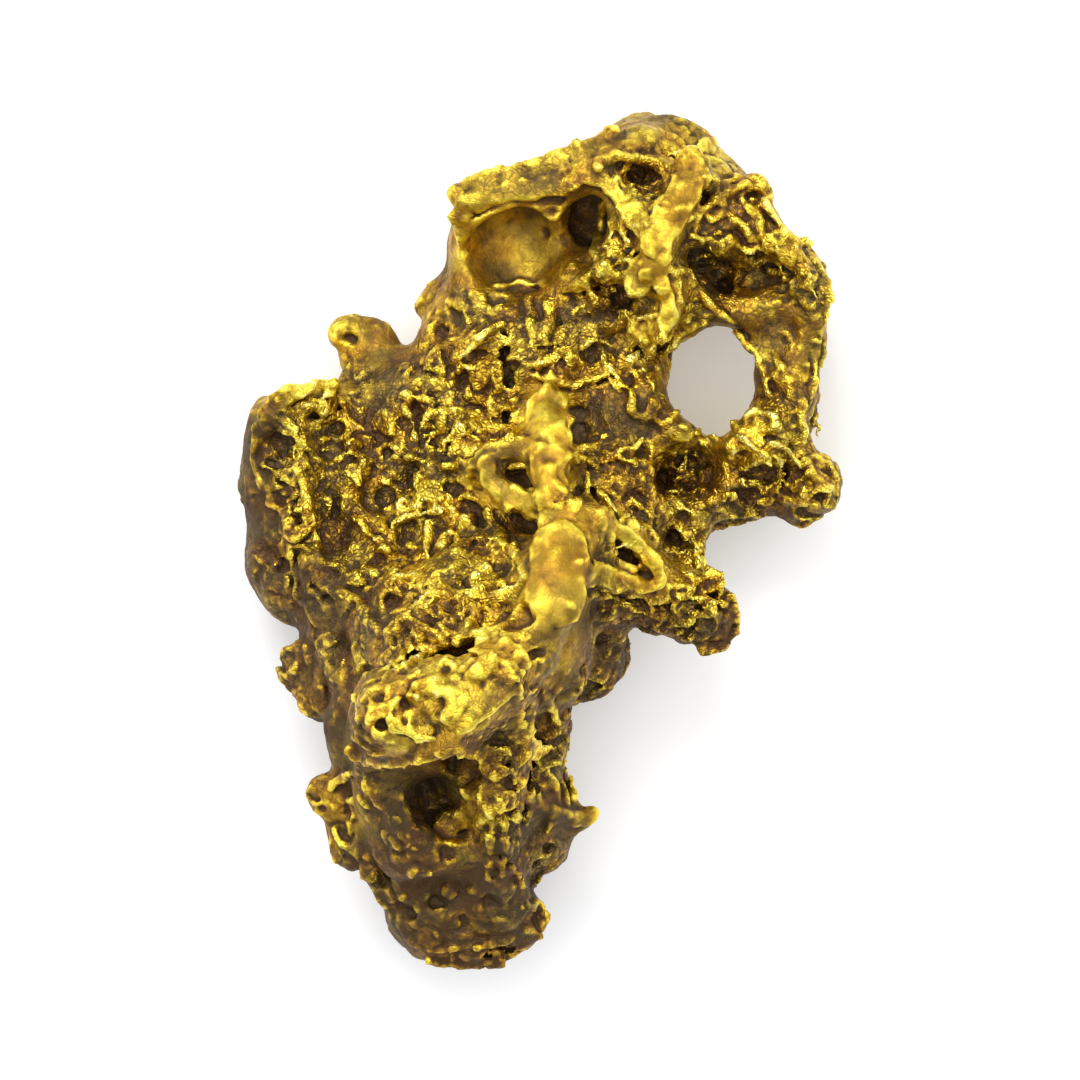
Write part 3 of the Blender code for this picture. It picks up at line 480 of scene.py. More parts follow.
# %% The ribs: place, radius, how far it stands out, and line
RIBS = (
    ("brow lip", 0.22, 0.16, ((-2.05, 8.05), (-1.8, 8.4), (-1.25, 8.57), (-0.5, 8.72),
         (0.12, 8.72), (0.62, 8.8), (1.12, 9.05), (1.62, 9.1))),
    ("brow crest", 0.34, 0.05, ((-1.95, 8.6), (-1.38, 8.85), (-0.5, 9.1), (0.38, 9.3),
         (1.12, 9.62), (1.75, 10.0))),
    ("brow curl", 0.09, 0.09, ((-1.05, 8.7), (-0.75, 8.9), (-0.4, 8.93), (-0.1, 8.78),
         (0.2, 8.85))),
    ("bright ridge", 0.4, 0.2, ((3.75, 9.38), (3.83, 8.95), (3.58, 8.38), (3.2, 7.9),
         (2.95, 7.35), (2.75, 6.8), (2.5, 6.45))),
    ("parting ridge", 0.2, 0.22, ((1.8, 8.8), (2.05, 8.4), (2.5, 8.12), (2.7, 7.7), (2.73, 7.2))),
    ("cave edge", 0.17, 0.2, ((1.8, 8.75), (1.6, 8.2), (1.5, 7.62), (1.43, 7.1), (1.6, 6.65))),
    ("pit rim top", 0.16, 0.2, ((1.45, 9.35), (1.95, 9.55), (2.5, 9.53), (3.0, 9.45),
         (3.25, 9.1))),
    ("pit rim right", 0.14, 0.13, ((3.2, 9.35), (3.4, 8.97), (3.2, 8.6), (2.88, 8.3))),
    ("facet", 0.09, 0.1, ((1.8, 7.88), (2.12, 7.7), (2.25, 7.38))),
    ("facet", 0.09, 0.1, ((2.15, 8.0), (2.5, 7.65), (2.65, 7.3))),
    ("facet", 0.1, 0.1, ((1.7, 7.25), (2.1, 6.97), (2.55, 6.95))),
    ("facet", 0.12, 0.12, ((1.6, 6.8), (2.0, 6.62), (2.4, 6.65))),
    ("hook", 0.22, 0.26, ((3.0, 6.35), (3.23, 6.0), (3.25, 5.55), (3.05, 5.22), (2.7, 5.15),
         (2.45, 5.33))),
    ("hook bar", 0.1, 0.14, ((2.5, 5.53), (2.88, 5.67), (3.2, 5.55))),
    ("thin ledge", 0.09, 0.17, ((3.25, 6.7), (3.7, 6.72), (3.95, 6.28), (4.2, 5.9), (4.55, 5.65),
         (4.9, 5.42))),
    ("hole corner", 0.13, 0.1, ((3.15, 4.65), (3.55, 5.15), (4.15, 5.5))),
    ("hole corner", 0.12, 0.1, ((5.0, 5.2), (5.35, 4.7))),
    ("inner ledge", 0.1, 0.12, ((3.42, 6.5), (3.52, 6.0), (3.75, 5.55))),
    ("twin left", 0.13, 0.19, ((-0.25, 6.0), (-0.17, 5.55), (-0.1, 5.03))),
    ("twin right", 0.14, 0.2, ((0.28, 5.92), (0.25, 5.5), (0.12, 5.05))),
    ("bed arc", 0.08, 0.1, ((-0.5, 4.95), (0.0, 4.85), (0.55, 4.95))),
    ("bed row", 0.11, 0.13, ((-0.4, 4.45), (-0.03, 4.38), (0.33, 4.5))),
    ("bed left", 0.13, 0.17, ((-2.0, 4.5), (-1.65, 4.85), (-1.25, 5.1), (-0.95, 5.38))),
    ("bed left", 0.1, 0.13, ((-2.2, 6.0), (-1.9, 5.78), (-1.75, 5.38))),
    ("bed top", 0.1, 0.13, ((-1.05, 6.35), (-0.5, 6.5), (0.12, 6.38), (0.55, 6.08))),
    ("bed right", 0.08, 0.12, ((0.85, 5.72), (1.25, 5.97), (1.55, 5.88))),
    ("bed right", 0.08, 0.12, ((1.1, 4.8), (1.45, 5.1), (1.82, 4.85))),
    ("bed right", 0.09, 0.13, ((1.55, 4.6), (1.75, 4.05), (2.05, 3.7))),
    ("bed low", 0.09, 0.12, ((-0.5, 4.2), (0.25, 4.05), (0.88, 3.9), (1.6, 4.1))),
    ("cap", 0.12, 0.16, ((4.0, 8.05), (4.38, 8.45), (4.75, 8.72), (5.15, 8.88))),
    ("cap", 0.11, 0.14, ((4.08, 9.15), (4.5, 8.85), (4.9, 8.97), (5.28, 8.75))),
    ("cap", 0.13, 0.16, ((5.1, 8.5), (5.4, 8.12), (5.65, 7.6))),
    ("cap", 0.09, 0.13, ((4.6, 8.38), (4.88, 7.97), (5.22, 7.72))),
    ("cap", 0.11, 0.14, ((5.65, 8.38), (6.0, 7.85), (6.38, 7.35))),
    ("cap", 0.1, 0.13, ((3.75, 7.62), (4.12, 7.47), (4.5, 7.62), (4.9, 7.47), (5.3, 7.25))),
    ("cap", 0.09, 0.13, ((3.75, 7.95), (4.0, 8.25), (4.3, 7.95), (4.55, 8.15))),
    ("right rim", 0.18, 0.22, ((6.2, 7.55), (6.7, 7.12), (7.0, 6.62), (7.22, 6.1))),
    ("slot lip", 0.09, 0.13, ((5.7, 6.72), (6.25, 6.55), (6.65, 6.4))),
    ("low rim", 0.08, 0.12, ((6.35, 5.95), (6.8, 5.85), (7.2, 6.0))),
    ("hole right", 0.11, 0.17, ((5.05, 5.1), (5.3, 4.85), (5.53, 4.47), (5.65, 4.03),
         (5.75, 3.65))),
    ("hole far", 0.09, 0.14, ((5.9, 4.7), (6.1, 4.35), (6.25, 4.0))),
    ("hole far", 0.1, 0.14, ((6.95, 4.45), (6.9, 3.95), (6.75, 3.45))),
    ("hole far", 0.1, 0.14, ((6.25, 3.7), (6.6, 3.45), (6.55, 3.0), (6.65, 2.5))),
    ("hole low", 0.1, 0.17, ((5.2, 3.1), (5.45, 3.2), (5.8, 3.1), (6.0, 2.8))),
    ("hole low", 0.1, 0.17, ((5.0, 2.55), (5.4, 2.35), (5.65, 2.1))),
    ("hole low", 0.09, 0.15, ((5.88, 2.45), (6.25, 2.25), (6.5, 1.95))),
    ("hole left", 0.09, 0.19, ((1.8, 4.35), (2.05, 3.9), (2.35, 3.7), (2.3, 3.25))),
    ("hole left", 0.09, 0.19, ((2.62, 4.3), (2.8, 3.85), (2.92, 3.4))),
    ("hole left", 0.1, 0.17, ((2.3, 3.2), (2.62, 3.05), (2.88, 3.25))),
    ("hole bank", 0.08, 0.15, ((2.8, 3.1), (3.05, 2.9), (3.3, 3.0), (3.5, 3.2))),
    ("hole bank", 0.08, 0.15, ((2.0, 2.25), (2.4, 2.35), (2.65, 2.55))),
    ("knob ridge", 0.12, 0.19, ((6.62, 2.0), (6.8, 1.7), (7.05, 1.4), (7.25, 1.3))),
    ("knob rim", 0.1, 0.14, ((6.88, 2.05), (7.25, 1.9), (7.45, 1.55))),
    ("knob low", 0.09, 0.14, ((6.08, 1.55), (6.38, 1.3), (6.65, 1.2))),
    ("web", 0.09, 0.12, ((4.05, 1.25), (4.35, 1.02), (4.65, 0.8), (4.9, 0.6))),
    ("web", 0.09, 0.1, ((2.2, 1.75), (2.5, 1.95), (2.75, 1.7), (2.83, 1.2), (2.75, 0.75))),
    ("web", 0.1, 0.12, ((2.3, 1.05), (2.5, 0.8), (2.7, 0.7))),
    ("web", 0.08, 0.1, ((2.7, 0.38), (2.8, 0.12), (3.0, 0.0))),
    ("thin wall", 0.11, 0.16, ((2.88, -0.03), (3.25, -0.15), (3.62, -0.4), (4.0, -0.53))),
    ("top lobe", 0.48, 0.16, ((0.23, 3.4), (0.33, 2.85), (0.28, 2.25), (0.23, 1.65))),
    ("lobe spur", 0.15, 0.17, ((-0.15, 3.4), (-0.25, 3.0), (-0.5, 2.65), (-0.9, 2.4))),
    ("left arm", 0.2, 0.26, ((0.0, 2.27), (-0.6, 2.3), (-1.1, 2.25), (-1.5, 2.05))),
    ("nose", 0.18, 0.3, ((-1.73, 2.2), (-1.65, 1.85), (-1.57, 1.52))),
    ("nose left", 0.12, 0.12, ((-1.95, 1.95), (-2.2, 1.85), (-2.5, 1.85))),
    ("eye rim", 0.25, 0.24, ((-1.32, 1.95), (-1.18, 1.5), (-0.85, 1.2), (-0.38, 1.0),
         (0.15, 0.93))),
    ("eye right", 0.2, 0.24, ((0.12, 1.0), (0.3, 1.35), (0.23, 1.75))),
    ("star leg", 0.16, 0.22, ((0.23, 1.75), (0.42, 1.35), (0.65, 1.0))),
    ("round rim", 0.1, 0.14, ((0.5, 1.93), (0.75, 2.08), (1.05, 1.98), (1.25, 1.62), (1.2, 1.27))),
    ("thin rib", 0.09, 0.19, ((1.25, 1.52), (1.52, 1.23), (1.8, 0.88), (2.05, 0.55),
         (2.33, 0.28))),
    ("shoulder", 0.3, 0.14, ((0.2, 0.47), (0.88, 0.6), (1.52, 0.53))),
    ("upper rib", 0.2, 0.28, ((1.52, 0.55), (2.02, 0.35), (2.5, -0.12), (2.88, -0.62),
         (3.05, -1.02))),
    ("lower rib", 0.2, 0.24, ((1.0, -0.62), (1.5, -0.88), (2.12, -1.07), (2.77, -1.2))),
    ("arm cross", 0.12, 0.12, ((1.8, 0.1), (1.65, -0.25), (1.95, -0.5))),
    ("arm step", 0.12, 0.12, ((2.05, -0.55), (2.35, -0.7), (2.25, -0.95))),
    ("arm end", 0.11, 0.14, ((3.52, -0.5), (3.73, -0.85), (4.0, -1.0))),
    ("arm end", 0.11, 0.14, ((4.15, -0.65), (4.4, -0.88), (4.47, -1.25))),
    ("arm end", 0.11, 0.14, ((3.48, -1.4), (4.0, -1.48), (4.55, -1.57))),
    ("arm end", 0.1, 0.13, ((3.27, -1.12), (3.75, -1.25))),
    ("arm end", 0.09, 0.12, ((4.75, -1.4), (4.92, -1.75), (5.03, -2.1))),
    ("under the arm", 0.1, 0.1, ((1.5, -1.6), (2.12, -1.6), (2.75, -1.8), (3.3, -2.0),
         (3.75, -2.05))),
    ("under the arm", 0.08, 0.1, ((3.75, -1.8), (4.25, -1.8), (4.65, -1.65))),
    ("big lobe", 0.68, 0.1, ((0.5, -0.12), (0.47, -0.88), (0.4, -1.6))),
    ("ring link", 0.15, 0.14, ((-1.27, 0.65), (-1.07, 0.25), (-0.9, -0.12))),
    ("ring", 0.2, 0.26, ((-1.12, -0.15), (-0.7, -0.28), (-0.38, -0.53), (-0.3, -0.95),
         (-0.62, -1.3), (-1.15, -1.45))),
    ("mid bar", 0.2, 0.2, ((-2.5, -1.3), (-2.0, -1.4), (-1.5, -1.3))),
    ("lump ridge", 0.2, 0.26, ((-3.15, -2.0), (-2.75, -2.25), (-2.38, -2.5), (-2.75, -2.77),
         (-3.25, -3.1))),
    ("lump ridge", 0.16, 0.22, ((-1.95, -2.42), (-1.62, -2.0))),
    ("lump ridge", 0.24, 0.26, ((-1.4, -2.4), (-1.32, -2.8), (-1.4, -3.2))),
    ("lump ridge", 0.3, 0.26, ((-0.8, -2.55), (-0.6, -2.9), (-0.75, -3.3))),
    ("ring left", 0.15, 0.16, ((-4.4, -1.6), (-4.22, -2.0), (-3.9, -2.25), (-3.5, -2.25),
         (-3.27, -1.93))),
    ("rim arc", 0.2, 0.2, ((-5.1, 3.95), (-5.72, 3.85), (-6.22, 3.67), (-6.6, 3.42),
         (-6.83, 3.17))),
    ("rim hook", 0.12, 0.14, ((-6.65, 3.23), (-6.38, 3.0), (-6.03, 2.8))),
    ("rim crumb", 0.1, 0.12, ((-5.83, 3.38), (-5.38, 3.25), (-4.97, 3.45))),
    ("flank line", 0.13, 0.12, ((-6.95, 2.9), (-7.1, 2.35), (-7.05, 1.75), (-6.85, 1.25))),
    ("flank bar", 0.13, 0.14, ((-6.83, 1.85), (-6.4, 1.75), (-6.0, 1.73))),
    ("left post", 0.13, 0.12, ((-6.9, 1.5), (-6.65, 1.0), (-6.25, 0.47), (-6.12, -0.12),
         (-6.17, -0.75), (-5.97, -1.38))),
    ("left post", 0.14, 0.14, ((-5.9, 1.65), (-5.78, 1.0), (-5.7, 0.38), (-5.6, -0.3),
         (-5.5, -1.0), (-5.35, -1.62))),
    ("bed bar", 0.09, 0.14, ((-4.7, 2.5), (-4.7, 2.1))),
    ("bed bar", 0.09, 0.14, ((-4.65, 2.08), (-4.45, 1.73), (-4.5, 1.35))),
    ("bed bar", 0.09, 0.13, ((-3.6, 2.35), (-3.25, 2.12), (-2.73, 1.93))),
    ("bed bar", 0.12, 0.19, ((-4.6, 0.62), (-4.33, 0.3), (-4.0, 0.0), (-3.8, -0.28))),
    ("bed bar", 0.1, 0.13, ((-3.62, 0.47), (-3.12, 0.62), (-2.48, 0.75))),
    ("bed bar", 0.09, 0.12, ((-4.05, 1.75), (-3.8, 1.95), (-3.55, 2.1))),
    ("bed bar", 0.1, 0.13, ((-3.38, 3.55), (-3.0, 3.58), (-2.7, 3.45))),
    ("bed bar", 0.1, 0.13, ((-3.3, 3.2), (-3.12, 2.95), (-3.17, 2.6))),
    ("bed bar", 0.1, 0.13, ((-5.75, 0.5), (-5.7, 0.2), (-5.55, -0.05))),
    ("low bar", 0.12, 0.16, ((-5.47, -0.55), (-5.0, -0.7), (-4.53, -0.88))),
    ("low bar", 0.13, 0.17, ((-5.38, -1.3), (-5.0, -1.25), (-4.62, -1.43), (-4.22, -1.8))),
    ("grit bar", 0.12, 0.14, ((-2.7, 0.45), (-2.73, 0.05), (-2.8, -0.4))),
    ("grit bar", 0.1, 0.12, ((-2.2, 0.3), (-1.95, 0.0), (-2.05, -0.3))),
    ("grit bar", 0.12, 0.13, ((-2.5, -0.9), (-2.12, -0.75), (-1.75, -0.55))),
    ("grit bar", 0.1, 0.12, ((-3.5, -1.25), (-3.12, -1.15), (-2.75, -1.25))),
    ("lump edge", 0.28, 0.2, ((-4.5, -5.28), (-3.65, -5.38), (-3.0, -5.2), (-2.35, -4.88),
         (-1.5, -4.2), (-0.8, -3.65))),
    ("lump bead", 0.2, 0.22, ((-2.5, -3.75), (-2.12, -3.73), (-1.93, -3.98), (-2.23, -4.38))),
    ("lump mid", 0.2, 0.16, ((-3.5, -4.55), (-3.15, -4.7), (-2.7, -4.65))),
    ("lump mid", 0.18, 0.16, ((-4.5, -3.9), (-4.35, -4.3), (-4.45, -4.75))),
    ("lump mid", 0.2, 0.16, ((-4.05, -5.15), (-4.35, -4.85))),
    ("lump mid", 0.2, 0.14, ((-3.0, -3.6), (-2.6, -3.5))),
    ("wall bulge", 0.26, 0.3, ((-2.4, -7.05), (-1.85, -6.88), (-1.3, -6.65), (-1.05, -6.4))),
    ("wall step", 0.22, 0.24, ((-1.8, -6.25), (-1.35, -6.15))),
    ("wall left", 0.3, 0.16, ((-4.12, -6.0), (-3.62, -6.5), (-3.38, -7.25))),
    ("wall mid", 0.3, 0.2, ((-1.75, -5.12), (-1.4, -5.25), (-1.1, -5.62))),
    ("side roll", 0.26, 0.2, ((-0.65, -3.75), (-0.55, -4.5), (-0.25, -5.05), (0.2, -5.45))),
    ("side leg", 0.22, 0.16, ((-0.38, -5.3), (-0.45, -5.7), (-0.2, -5.8))),
    ("side rib", 0.08, 0.12, ((0.15, -5.6), (0.38, -6.1), (0.47, -6.53))),
    ("side rib", 0.08, 0.12, ((0.4, -5.55), (0.62, -6.1), (0.72, -6.53))),
    ("side rib", 0.08, 0.1, ((0.62, -5.6), (0.82, -6.1), (0.88, -6.42))),
    ("side ring", 0.06, 0.1, ((0.28, -5.3), (0.4, -5.12), (0.57, -5.2), (0.57, -5.42),
         (0.4, -5.5), (0.28, -5.3))),
    ("side top", 0.1, 0.12, ((0.12, -3.75), (0.3, -4.15), (0.5, -4.55), (0.65, -5.0))),
    ("streak", 0.12, 0.12, ((-1.2, -7.25), (-1.25, -7.8), (-1.3, -8.4))),
    ("streak", 0.12, 0.12, ((-0.85, -7.0), (-0.78, -7.65), (-0.88, -8.25))),
    ("streak", 0.14, 0.16, ((-0.72, -8.05), (-0.55, -8.32), (-0.42, -8.65))),
    ("side low", 0.1, 0.12, ((-0.3, -6.1), (-0.25, -6.5), (-0.35, -7.0))),
    ("side low", 0.1, 0.1, ((0.0, -6.5), (0.3, -6.8), (0.2, -7.25))),
    ("knob bar", 0.16, 0.24, ((0.3, -6.75), (0.85, -6.9), (1.3, -6.88))),
    ("knob bar", 0.16, 0.1, ((0.3, -6.95), (0.85, -7.05), (1.25, -6.98))),
    ("end rim", 0.16, 0.1, ((4.1, -2.7), (4.6, -2.62), (4.95, -2.25))),
    ("wall side", 0.17, 0.08, ((-4.2, -7.8), (-4.15, -8.5), (-3.8, -9.1))),
    ("knob five", 0.1, 0.15, ((-5.15, -6.15), (-4.88, -5.9), (-4.6, -5.78))),
    ("knob five", 0.14, 0.17, ((-5.12, -7.22), (-4.88, -7.58), (-4.55, -7.75), (-4.35, -8.07))),
    ("knob five", 0.09, 0.14, ((-4.75, -6.5), (-4.45, -6.4), (-4.25, -6.65))),
    ("knob three", 0.1, 0.14, ((-6.3, -2.75), (-6.05, -2.6), (-5.75, -2.7), (-5.7, -3.05))),
    ("toe ledge", 0.14, 0.14, ((-3.23, -10.0), (-2.75, -10.12), (-2.12, -10.22), (-1.48, -10.1),
         (-0.72, -9.88))),
    ("toe edge", 0.12, 0.1, ((-2.75, -10.53), (-2.0, -10.68), (-0.95, -10.53))),
    ("toe ring", 0.1, 0.13, ((-0.38, -9.12), (-0.03, -9.1), (0.2, -9.47), (0.03, -9.9),
         (-0.3, -9.75))),
)

print(len(RIBS), "ribs, the highest", max(stand for _, _, stand, _ in RIBS), "mm")

# %% The beads: place, middle, half sizes, and the turn in degrees
BEADS = (
    ("web fill", (3.85, -0.55), (0.30, 0.30, 0.10), 0),
    ("knob end", (1.22, -6.90), (0.32, 0.24, 0.22), 0),
    ("arm fill", (4.25, -0.95), (0.25, 0.25, 0.12), 0),
    ("wall fill", (-4.15, -8.15), (0.30, 0.40, 0.20), 0),
    ("cap bulge", (1.45, 9.32), (0.23, 0.2, 0.3), 0),
    ("bulge left", (1.73, 6.8), (0.25, 0.2, 0.25), 0),
    ("bulge right", (2.67, 6.65), (0.23, 0.2, 0.25), 0),
    ("bead", (3.65, 2.85), (0.11, 0.1, 0.24), 0),
    ("bead", (3.98, 2.67), (0.12, 0.12, 0.26), 0),
    ("bead", (4.33, 2.55), (0.12, 0.1, 0.22), 0),
    ("bead", (4.7, 2.55), (0.12, 0.1, 0.2), 0),
    ("bead", (4.95, 2.88), (0.15, 0.2, 0.3), 0),
    ("bead", (5.83, 2.85), (0.17, 0.15, 0.26), 0),
    ("crumb", (-2.17, -3.85), (0.15, 0.2, 0.22), 0),
    ("crumb", (-3.05, -8.2), (0.15, 0.15, 0.2), 0),
    ("crumb", (-2.77, -8.28), (0.12, 0.12, 0.2), 0),
    ("crumb", (-2.2, -8.7), (0.23, 0.23, 0.24), 0),
    ("crumb", (-1.7, -8.7), (0.12, 0.12, 0.2), 0),
    ("crumb", (-3.3, -7.55), (0.12, 0.15, 0.2), 0),
    ("crumb", (-3.4, -8.9), (0.15, 0.15, 0.2), 0),
    ("grit lump", (-3.25, -0.2), (0.17, 0.2, 0.2), 0),
    ("grit lump", (-1.55, -0.9), (0.17, 0.15, 0.2), 0),
    ("grit lump", (-2.35, -0.12), (0.2, 0.17, 0.2), 0),
    ("grit lump", (-1.95, -1.5), (0.15, 0.12, 0.18), 0),
    ("tab bead", (4.92, -2.05), (0.15, 0.1, 0.2), 0),
)

tallest = max(half_sizes[2] for _, _, half_sizes, _ in BEADS)
print(len(BEADS), "beads, the tallest", 2 * tallest, "mm")

# %% [markdown]
# Whatever stands proud was also polished by gravel, so each rib notes in a second block how near
# the cells are to it: wide ribs in full, beads and thin ribs less. The roughening reads it later.

# %% Carve and lay them all
POLISH_START = 0.7
POLISH_FADE = 0.2
WIDE_RIB = 0.17
PIT_BLEND, GROOVE_BLEND, RIBBON_BLEND, BAR_BLEND, BEAD_BLEND = 0.10, 0.08, 0.12, 0.06, 0.08
BEAD_LEVEL = 0.02
heights = skin_height(field)
polish = np.zeros(SHAPE, np.float32)


def polishing(strength):
    """An act that joins a shape, and notes in the polish block how near each cell is to it."""
    def act(values, cut, shape, blend):
        join(values, cut, shape, blend)
        nearness = np.clip(POLISH_START - shape / POLISH_FADE, 0, 1)
        polish[cut] = np.maximum(polish[cut], strength * nearness)
    return act


for _, spot, half_sizes, turn in PITS:
    lay_egg(field, heights, carve, spot, half_sizes, turn, 0.0, PIT_BLEND)
for _, radius, depth, plan in GROOVES:
    lay_bar(field, heights, carve, radius, radius - depth, plan, GROOVE_BLEND)
for _, radius, stand, plan in RIBS:
    if radius > WIDE_RIB:
        level = stand - FLATNESS * radius
        lay_ribbon(field, heights, polishing(1.0), radius, level, plan, RIBBON_BLEND)
    else:
        lay_bar(field, heights, polishing(0.5), radius, stand - radius, plan, BAR_BLEND)
for _, spot, half_sizes, turn in BEADS:
    lay_egg(field, heights, polishing(0.7), spot, half_sizes, turn, BEAD_LEVEL, BEAD_BLEND)
print("polished cells:", int((polish > 0.5).sum()))

# %% [markdown]
# ## Worn metal and rough metal
# What stands proud was rubbed smooth by gravel: the brow, the bright ridge, the lobes. The floor
# of the cave and the wall by the hole are smooth too, as solution left them. Everywhere else is
# grit. A map in plan says how calm each spot is, and the noise is held back by it.

# %% Paint the calm map: place, radius, how calm, and line
CALM = (
    ("forehead", 1.00, 0.60, ((-1.8, 8.9), (0.8, 9.9), (3.0, 11.3), (4.2, 10.4))),
    ("cap", 1.10, 0.35, ((4.8, 8.6), (5.6, 7.6))),
    ("hole wall", 1.20, 0.60, ((4.3, 4.2), (4.3, 3.4))),
    ("bank", 0.50, 0.40, ((2.3, 3.6), (2.6, 2.6))),
    ("brow", 0.50, 0.65, ((-2.0, 8.2), (-1.3, 8.8), (0.4, 9.1), (1.5, 9.8), (3.0, 10.5))),
    ("cave floor", 1.40, 0.95, ((-0.95, 7.4), (-0.4, 7.5))),
    ("right chamber", 0.60, 0.80, ((1.3, 8.3), (1.2, 7.6))),
    ("bright ridge", 0.45, 0.90, ((3.8, 9.3), (3.6, 8.4), (3.0, 7.5), (2.6, 6.5))),
    ("parting ridge", 0.25, 0.70, ((1.8, 8.8), (2.5, 8.1), (2.7, 7.2))),
    ("hook", 0.28, 0.80, ((3.1, 6.3), (3.3, 5.6), (2.5, 5.2))),
    ("brown wall", 0.90, 0.60, ((5.9, 5.4), (6.4, 4.9))),
    ("star lobe", 0.62, 1.00, ((0.2, 3.4), (0.3, 1.7))),
    ("eye rim", 0.36, 0.90, ((-1.4, 1.9), (-1.0, 1.2), (0.1, 0.9), (0.3, 1.8))),
    ("left arm", 0.30, 0.70, ((0.0, 2.3), (-1.5, 2.1), (-1.7, 1.6))),
    ("shoulder", 0.42, 0.80, ((0.2, 0.5), (1.5, 0.5))),
    ("arm ribs", 0.30, 0.80, ((1.5, 0.5), (2.5, -0.1), (3.0, -1.0), (1.0, -0.7))),
    ("big lobe", 0.85, 1.00, ((0.5, -0.1), (0.4, -1.7))),
    ("flank", 0.75, 0.60, ((0.9, -1.8), (0.4, -3.2), (-0.2, -4.0))),
    ("lump end", 0.55, 0.70, ((-0.7, -2.8), (-1.4, -2.9))),
    ("lump top", 1.20, 0.66, ((-3.6, -4.4), (-1.9, -3.9))),
    ("back knobs", 0.80, 0.80, ((-4.9, 5.5), (-4.0, 5.2))),
    ("back ball", 0.70, 0.70, ((-2.6, 6.1), (-2.5, 5.9))),
    ("left rim", 0.50, 0.70, ((-5.1, 4.1), (-6.0, 4.0), (-7.0, 3.4), (-7.4, 2.2), (-7.0, 0.6))),
    ("left flank", 0.70, 0.35, ((-7.0, 0.8), (-6.7, -0.8), (-6.2, -2.2))),
    ("neck", 0.70, 0.40, ((-5.6, -1.2), (-5.3, -3.6))),
    ("front knobs", 0.60, 0.70, ((-5.2, -5.9), (-5.1, -6.6), (-4.6, -7.8))),
    ("front knob bar", 0.60, 0.90, ((0.6, -6.7), (1.4, -6.9))),
    ("toe", 0.50, 0.40, ((-3.4, -9.8), (-2.4, -10.9), (-0.4, -10.8), (0.6, -9.6))),
    ("side knob", 0.55, 0.70, ((-5.0, -4.4), (-5.0, -5.2))),
    ("front wall", 1.60, 0.62, ((-3.0, -6.4), (-2.2, -9.0))),
)


STROKE_EDGE = 1.6


def stroke_fades(strokes):
    """Each stroke's share on each spot of the plan, as an S-shaped fall from one on its line to
    nought at its edge, and the strokes' strengths."""
    x, y = np.meshgrid(AXES[0], AXES[1], indexing="ij")
    spots = np.stack([x, y], axis=-1)
    fades = np.zeros((len(strokes), *x.shape), np.float32)
    for fade, (_, radius, _, plan) in zip(fades, strokes):
        for start, end in zip(plan, plan[1:]):
            away = bar_field(spots, np.array(start), np.array(end), 0.0)
            part = np.clip(STROKE_EDGE - away / radius, 0, 1)
            np.maximum(fade, part * part * (3 - 2 * part), out=fade)
    return fades, np.array([stroke[2] for stroke in strokes], np.float32)[:, None, None]


fades, strengths = stroke_fades(CALM)
calm = (fades * strengths).max(axis=0)
print("calm over", int(100 * (calm > 0.5).mean()), "% of the plan")

# %% [markdown]
# ## Crystals, by hand
# Crystal noise scatters one seed in every cell of a lattice, gives each its own tilted plane, and
# lets the nearest seed win, so that the surface breaks into small facets with clefts between
# them, as crystals of gold do.

# %% Crystal noise
CLEFT_GAIN = 3.6


def crystal_noise(points, size, seed):
    """Height of the nearest seed's tilted plane, and how far a point is from a cleft, 0 to 1."""
    rng = np.random.default_rng(seed)
    seeds = rng.random((TABLE, TABLE, TABLE, 3)).astype(np.float32)
    tilts = rng.normal(size=(TABLE, TABLE, TABLE, 3)).astype(np.float32)
    place = (points / size).astype(np.float32)
    corner = np.floor(place).astype(np.int32)
    nearest = np.full(len(points), FAR, np.float32)
    second = np.full(len(points), FAR, np.float32)
    height = np.zeros(len(points), np.float32)
    for step in np.ndindex(3, 3, 3):
        cell = corner + np.array(step, np.int32) - 1
        at = cell % TABLE
        away = place - cell - seeds[at[:, 0], at[:, 1], at[:, 2]]
        distance = np.einsum("ij,ij->i", away, away)
        wins = distance < nearest
        second = np.where(wins, nearest, np.minimum(second, distance))
        plane = np.einsum("ij,ij->i", away, tilts[at[:, 0], at[:, 1], at[:, 2]])
        height = np.where(wins, plane, height)
        nearest = np.where(wins, distance, nearest)
    cleft = np.clip((np.sqrt(second) - np.sqrt(nearest)) * CLEFT_GAIN, 0, 1)
    return height, cleft


print("distance to a cleft at three places:", crystal_noise(0.7 * np.eye(3), 1.0, 0)[1].round(2))

# %% [markdown]
# ## Roughening the skin
# Only the cells near the skin are worked on. Slow noise makes swells. Folded noise, which is
# rolling noise without its sign, has a sharp crease wherever it crosses nought, and makes
# wrinkles. Crystal noise at three sizes breaks the beds into lumps, grains and grit. The places
# are bent by more noise first, so that no grain has a straight edge. Steep sides were rolled
# against other stones, so they are calmer than the top.

# %% Disturb the field near its skin: sizes and depths in millimetres
NEAR = 0.22
WARP_SIZE, WARP = 0.5, 0.16
SWELL_SIZE, SWELL = 1.2, 0.06
WRINKLE_SIZE, WRINKLE, WRINKLE_FOLD = 0.62, 0.05, 2.2
PATCH_SIZE = 1.6
LUMPS = (0.62, 0.05, 0.15)
GRAINS = (0.35, 0.045, 0.08)
GRIT = (0.20, 0.025, 0.035)
STEEP_SHARE = 0.42
RIB_CALM = 0.95


def crystals(points, size, cleft_depth, tilt_depth, seed):
    """Depth to take off: clefts between the grains, and each grain's own tilt."""
    tilt, cleft = crystal_noise(points, size, seed)
    return (0.8 - cleft) * cleft_depth + tilt * tilt_depth


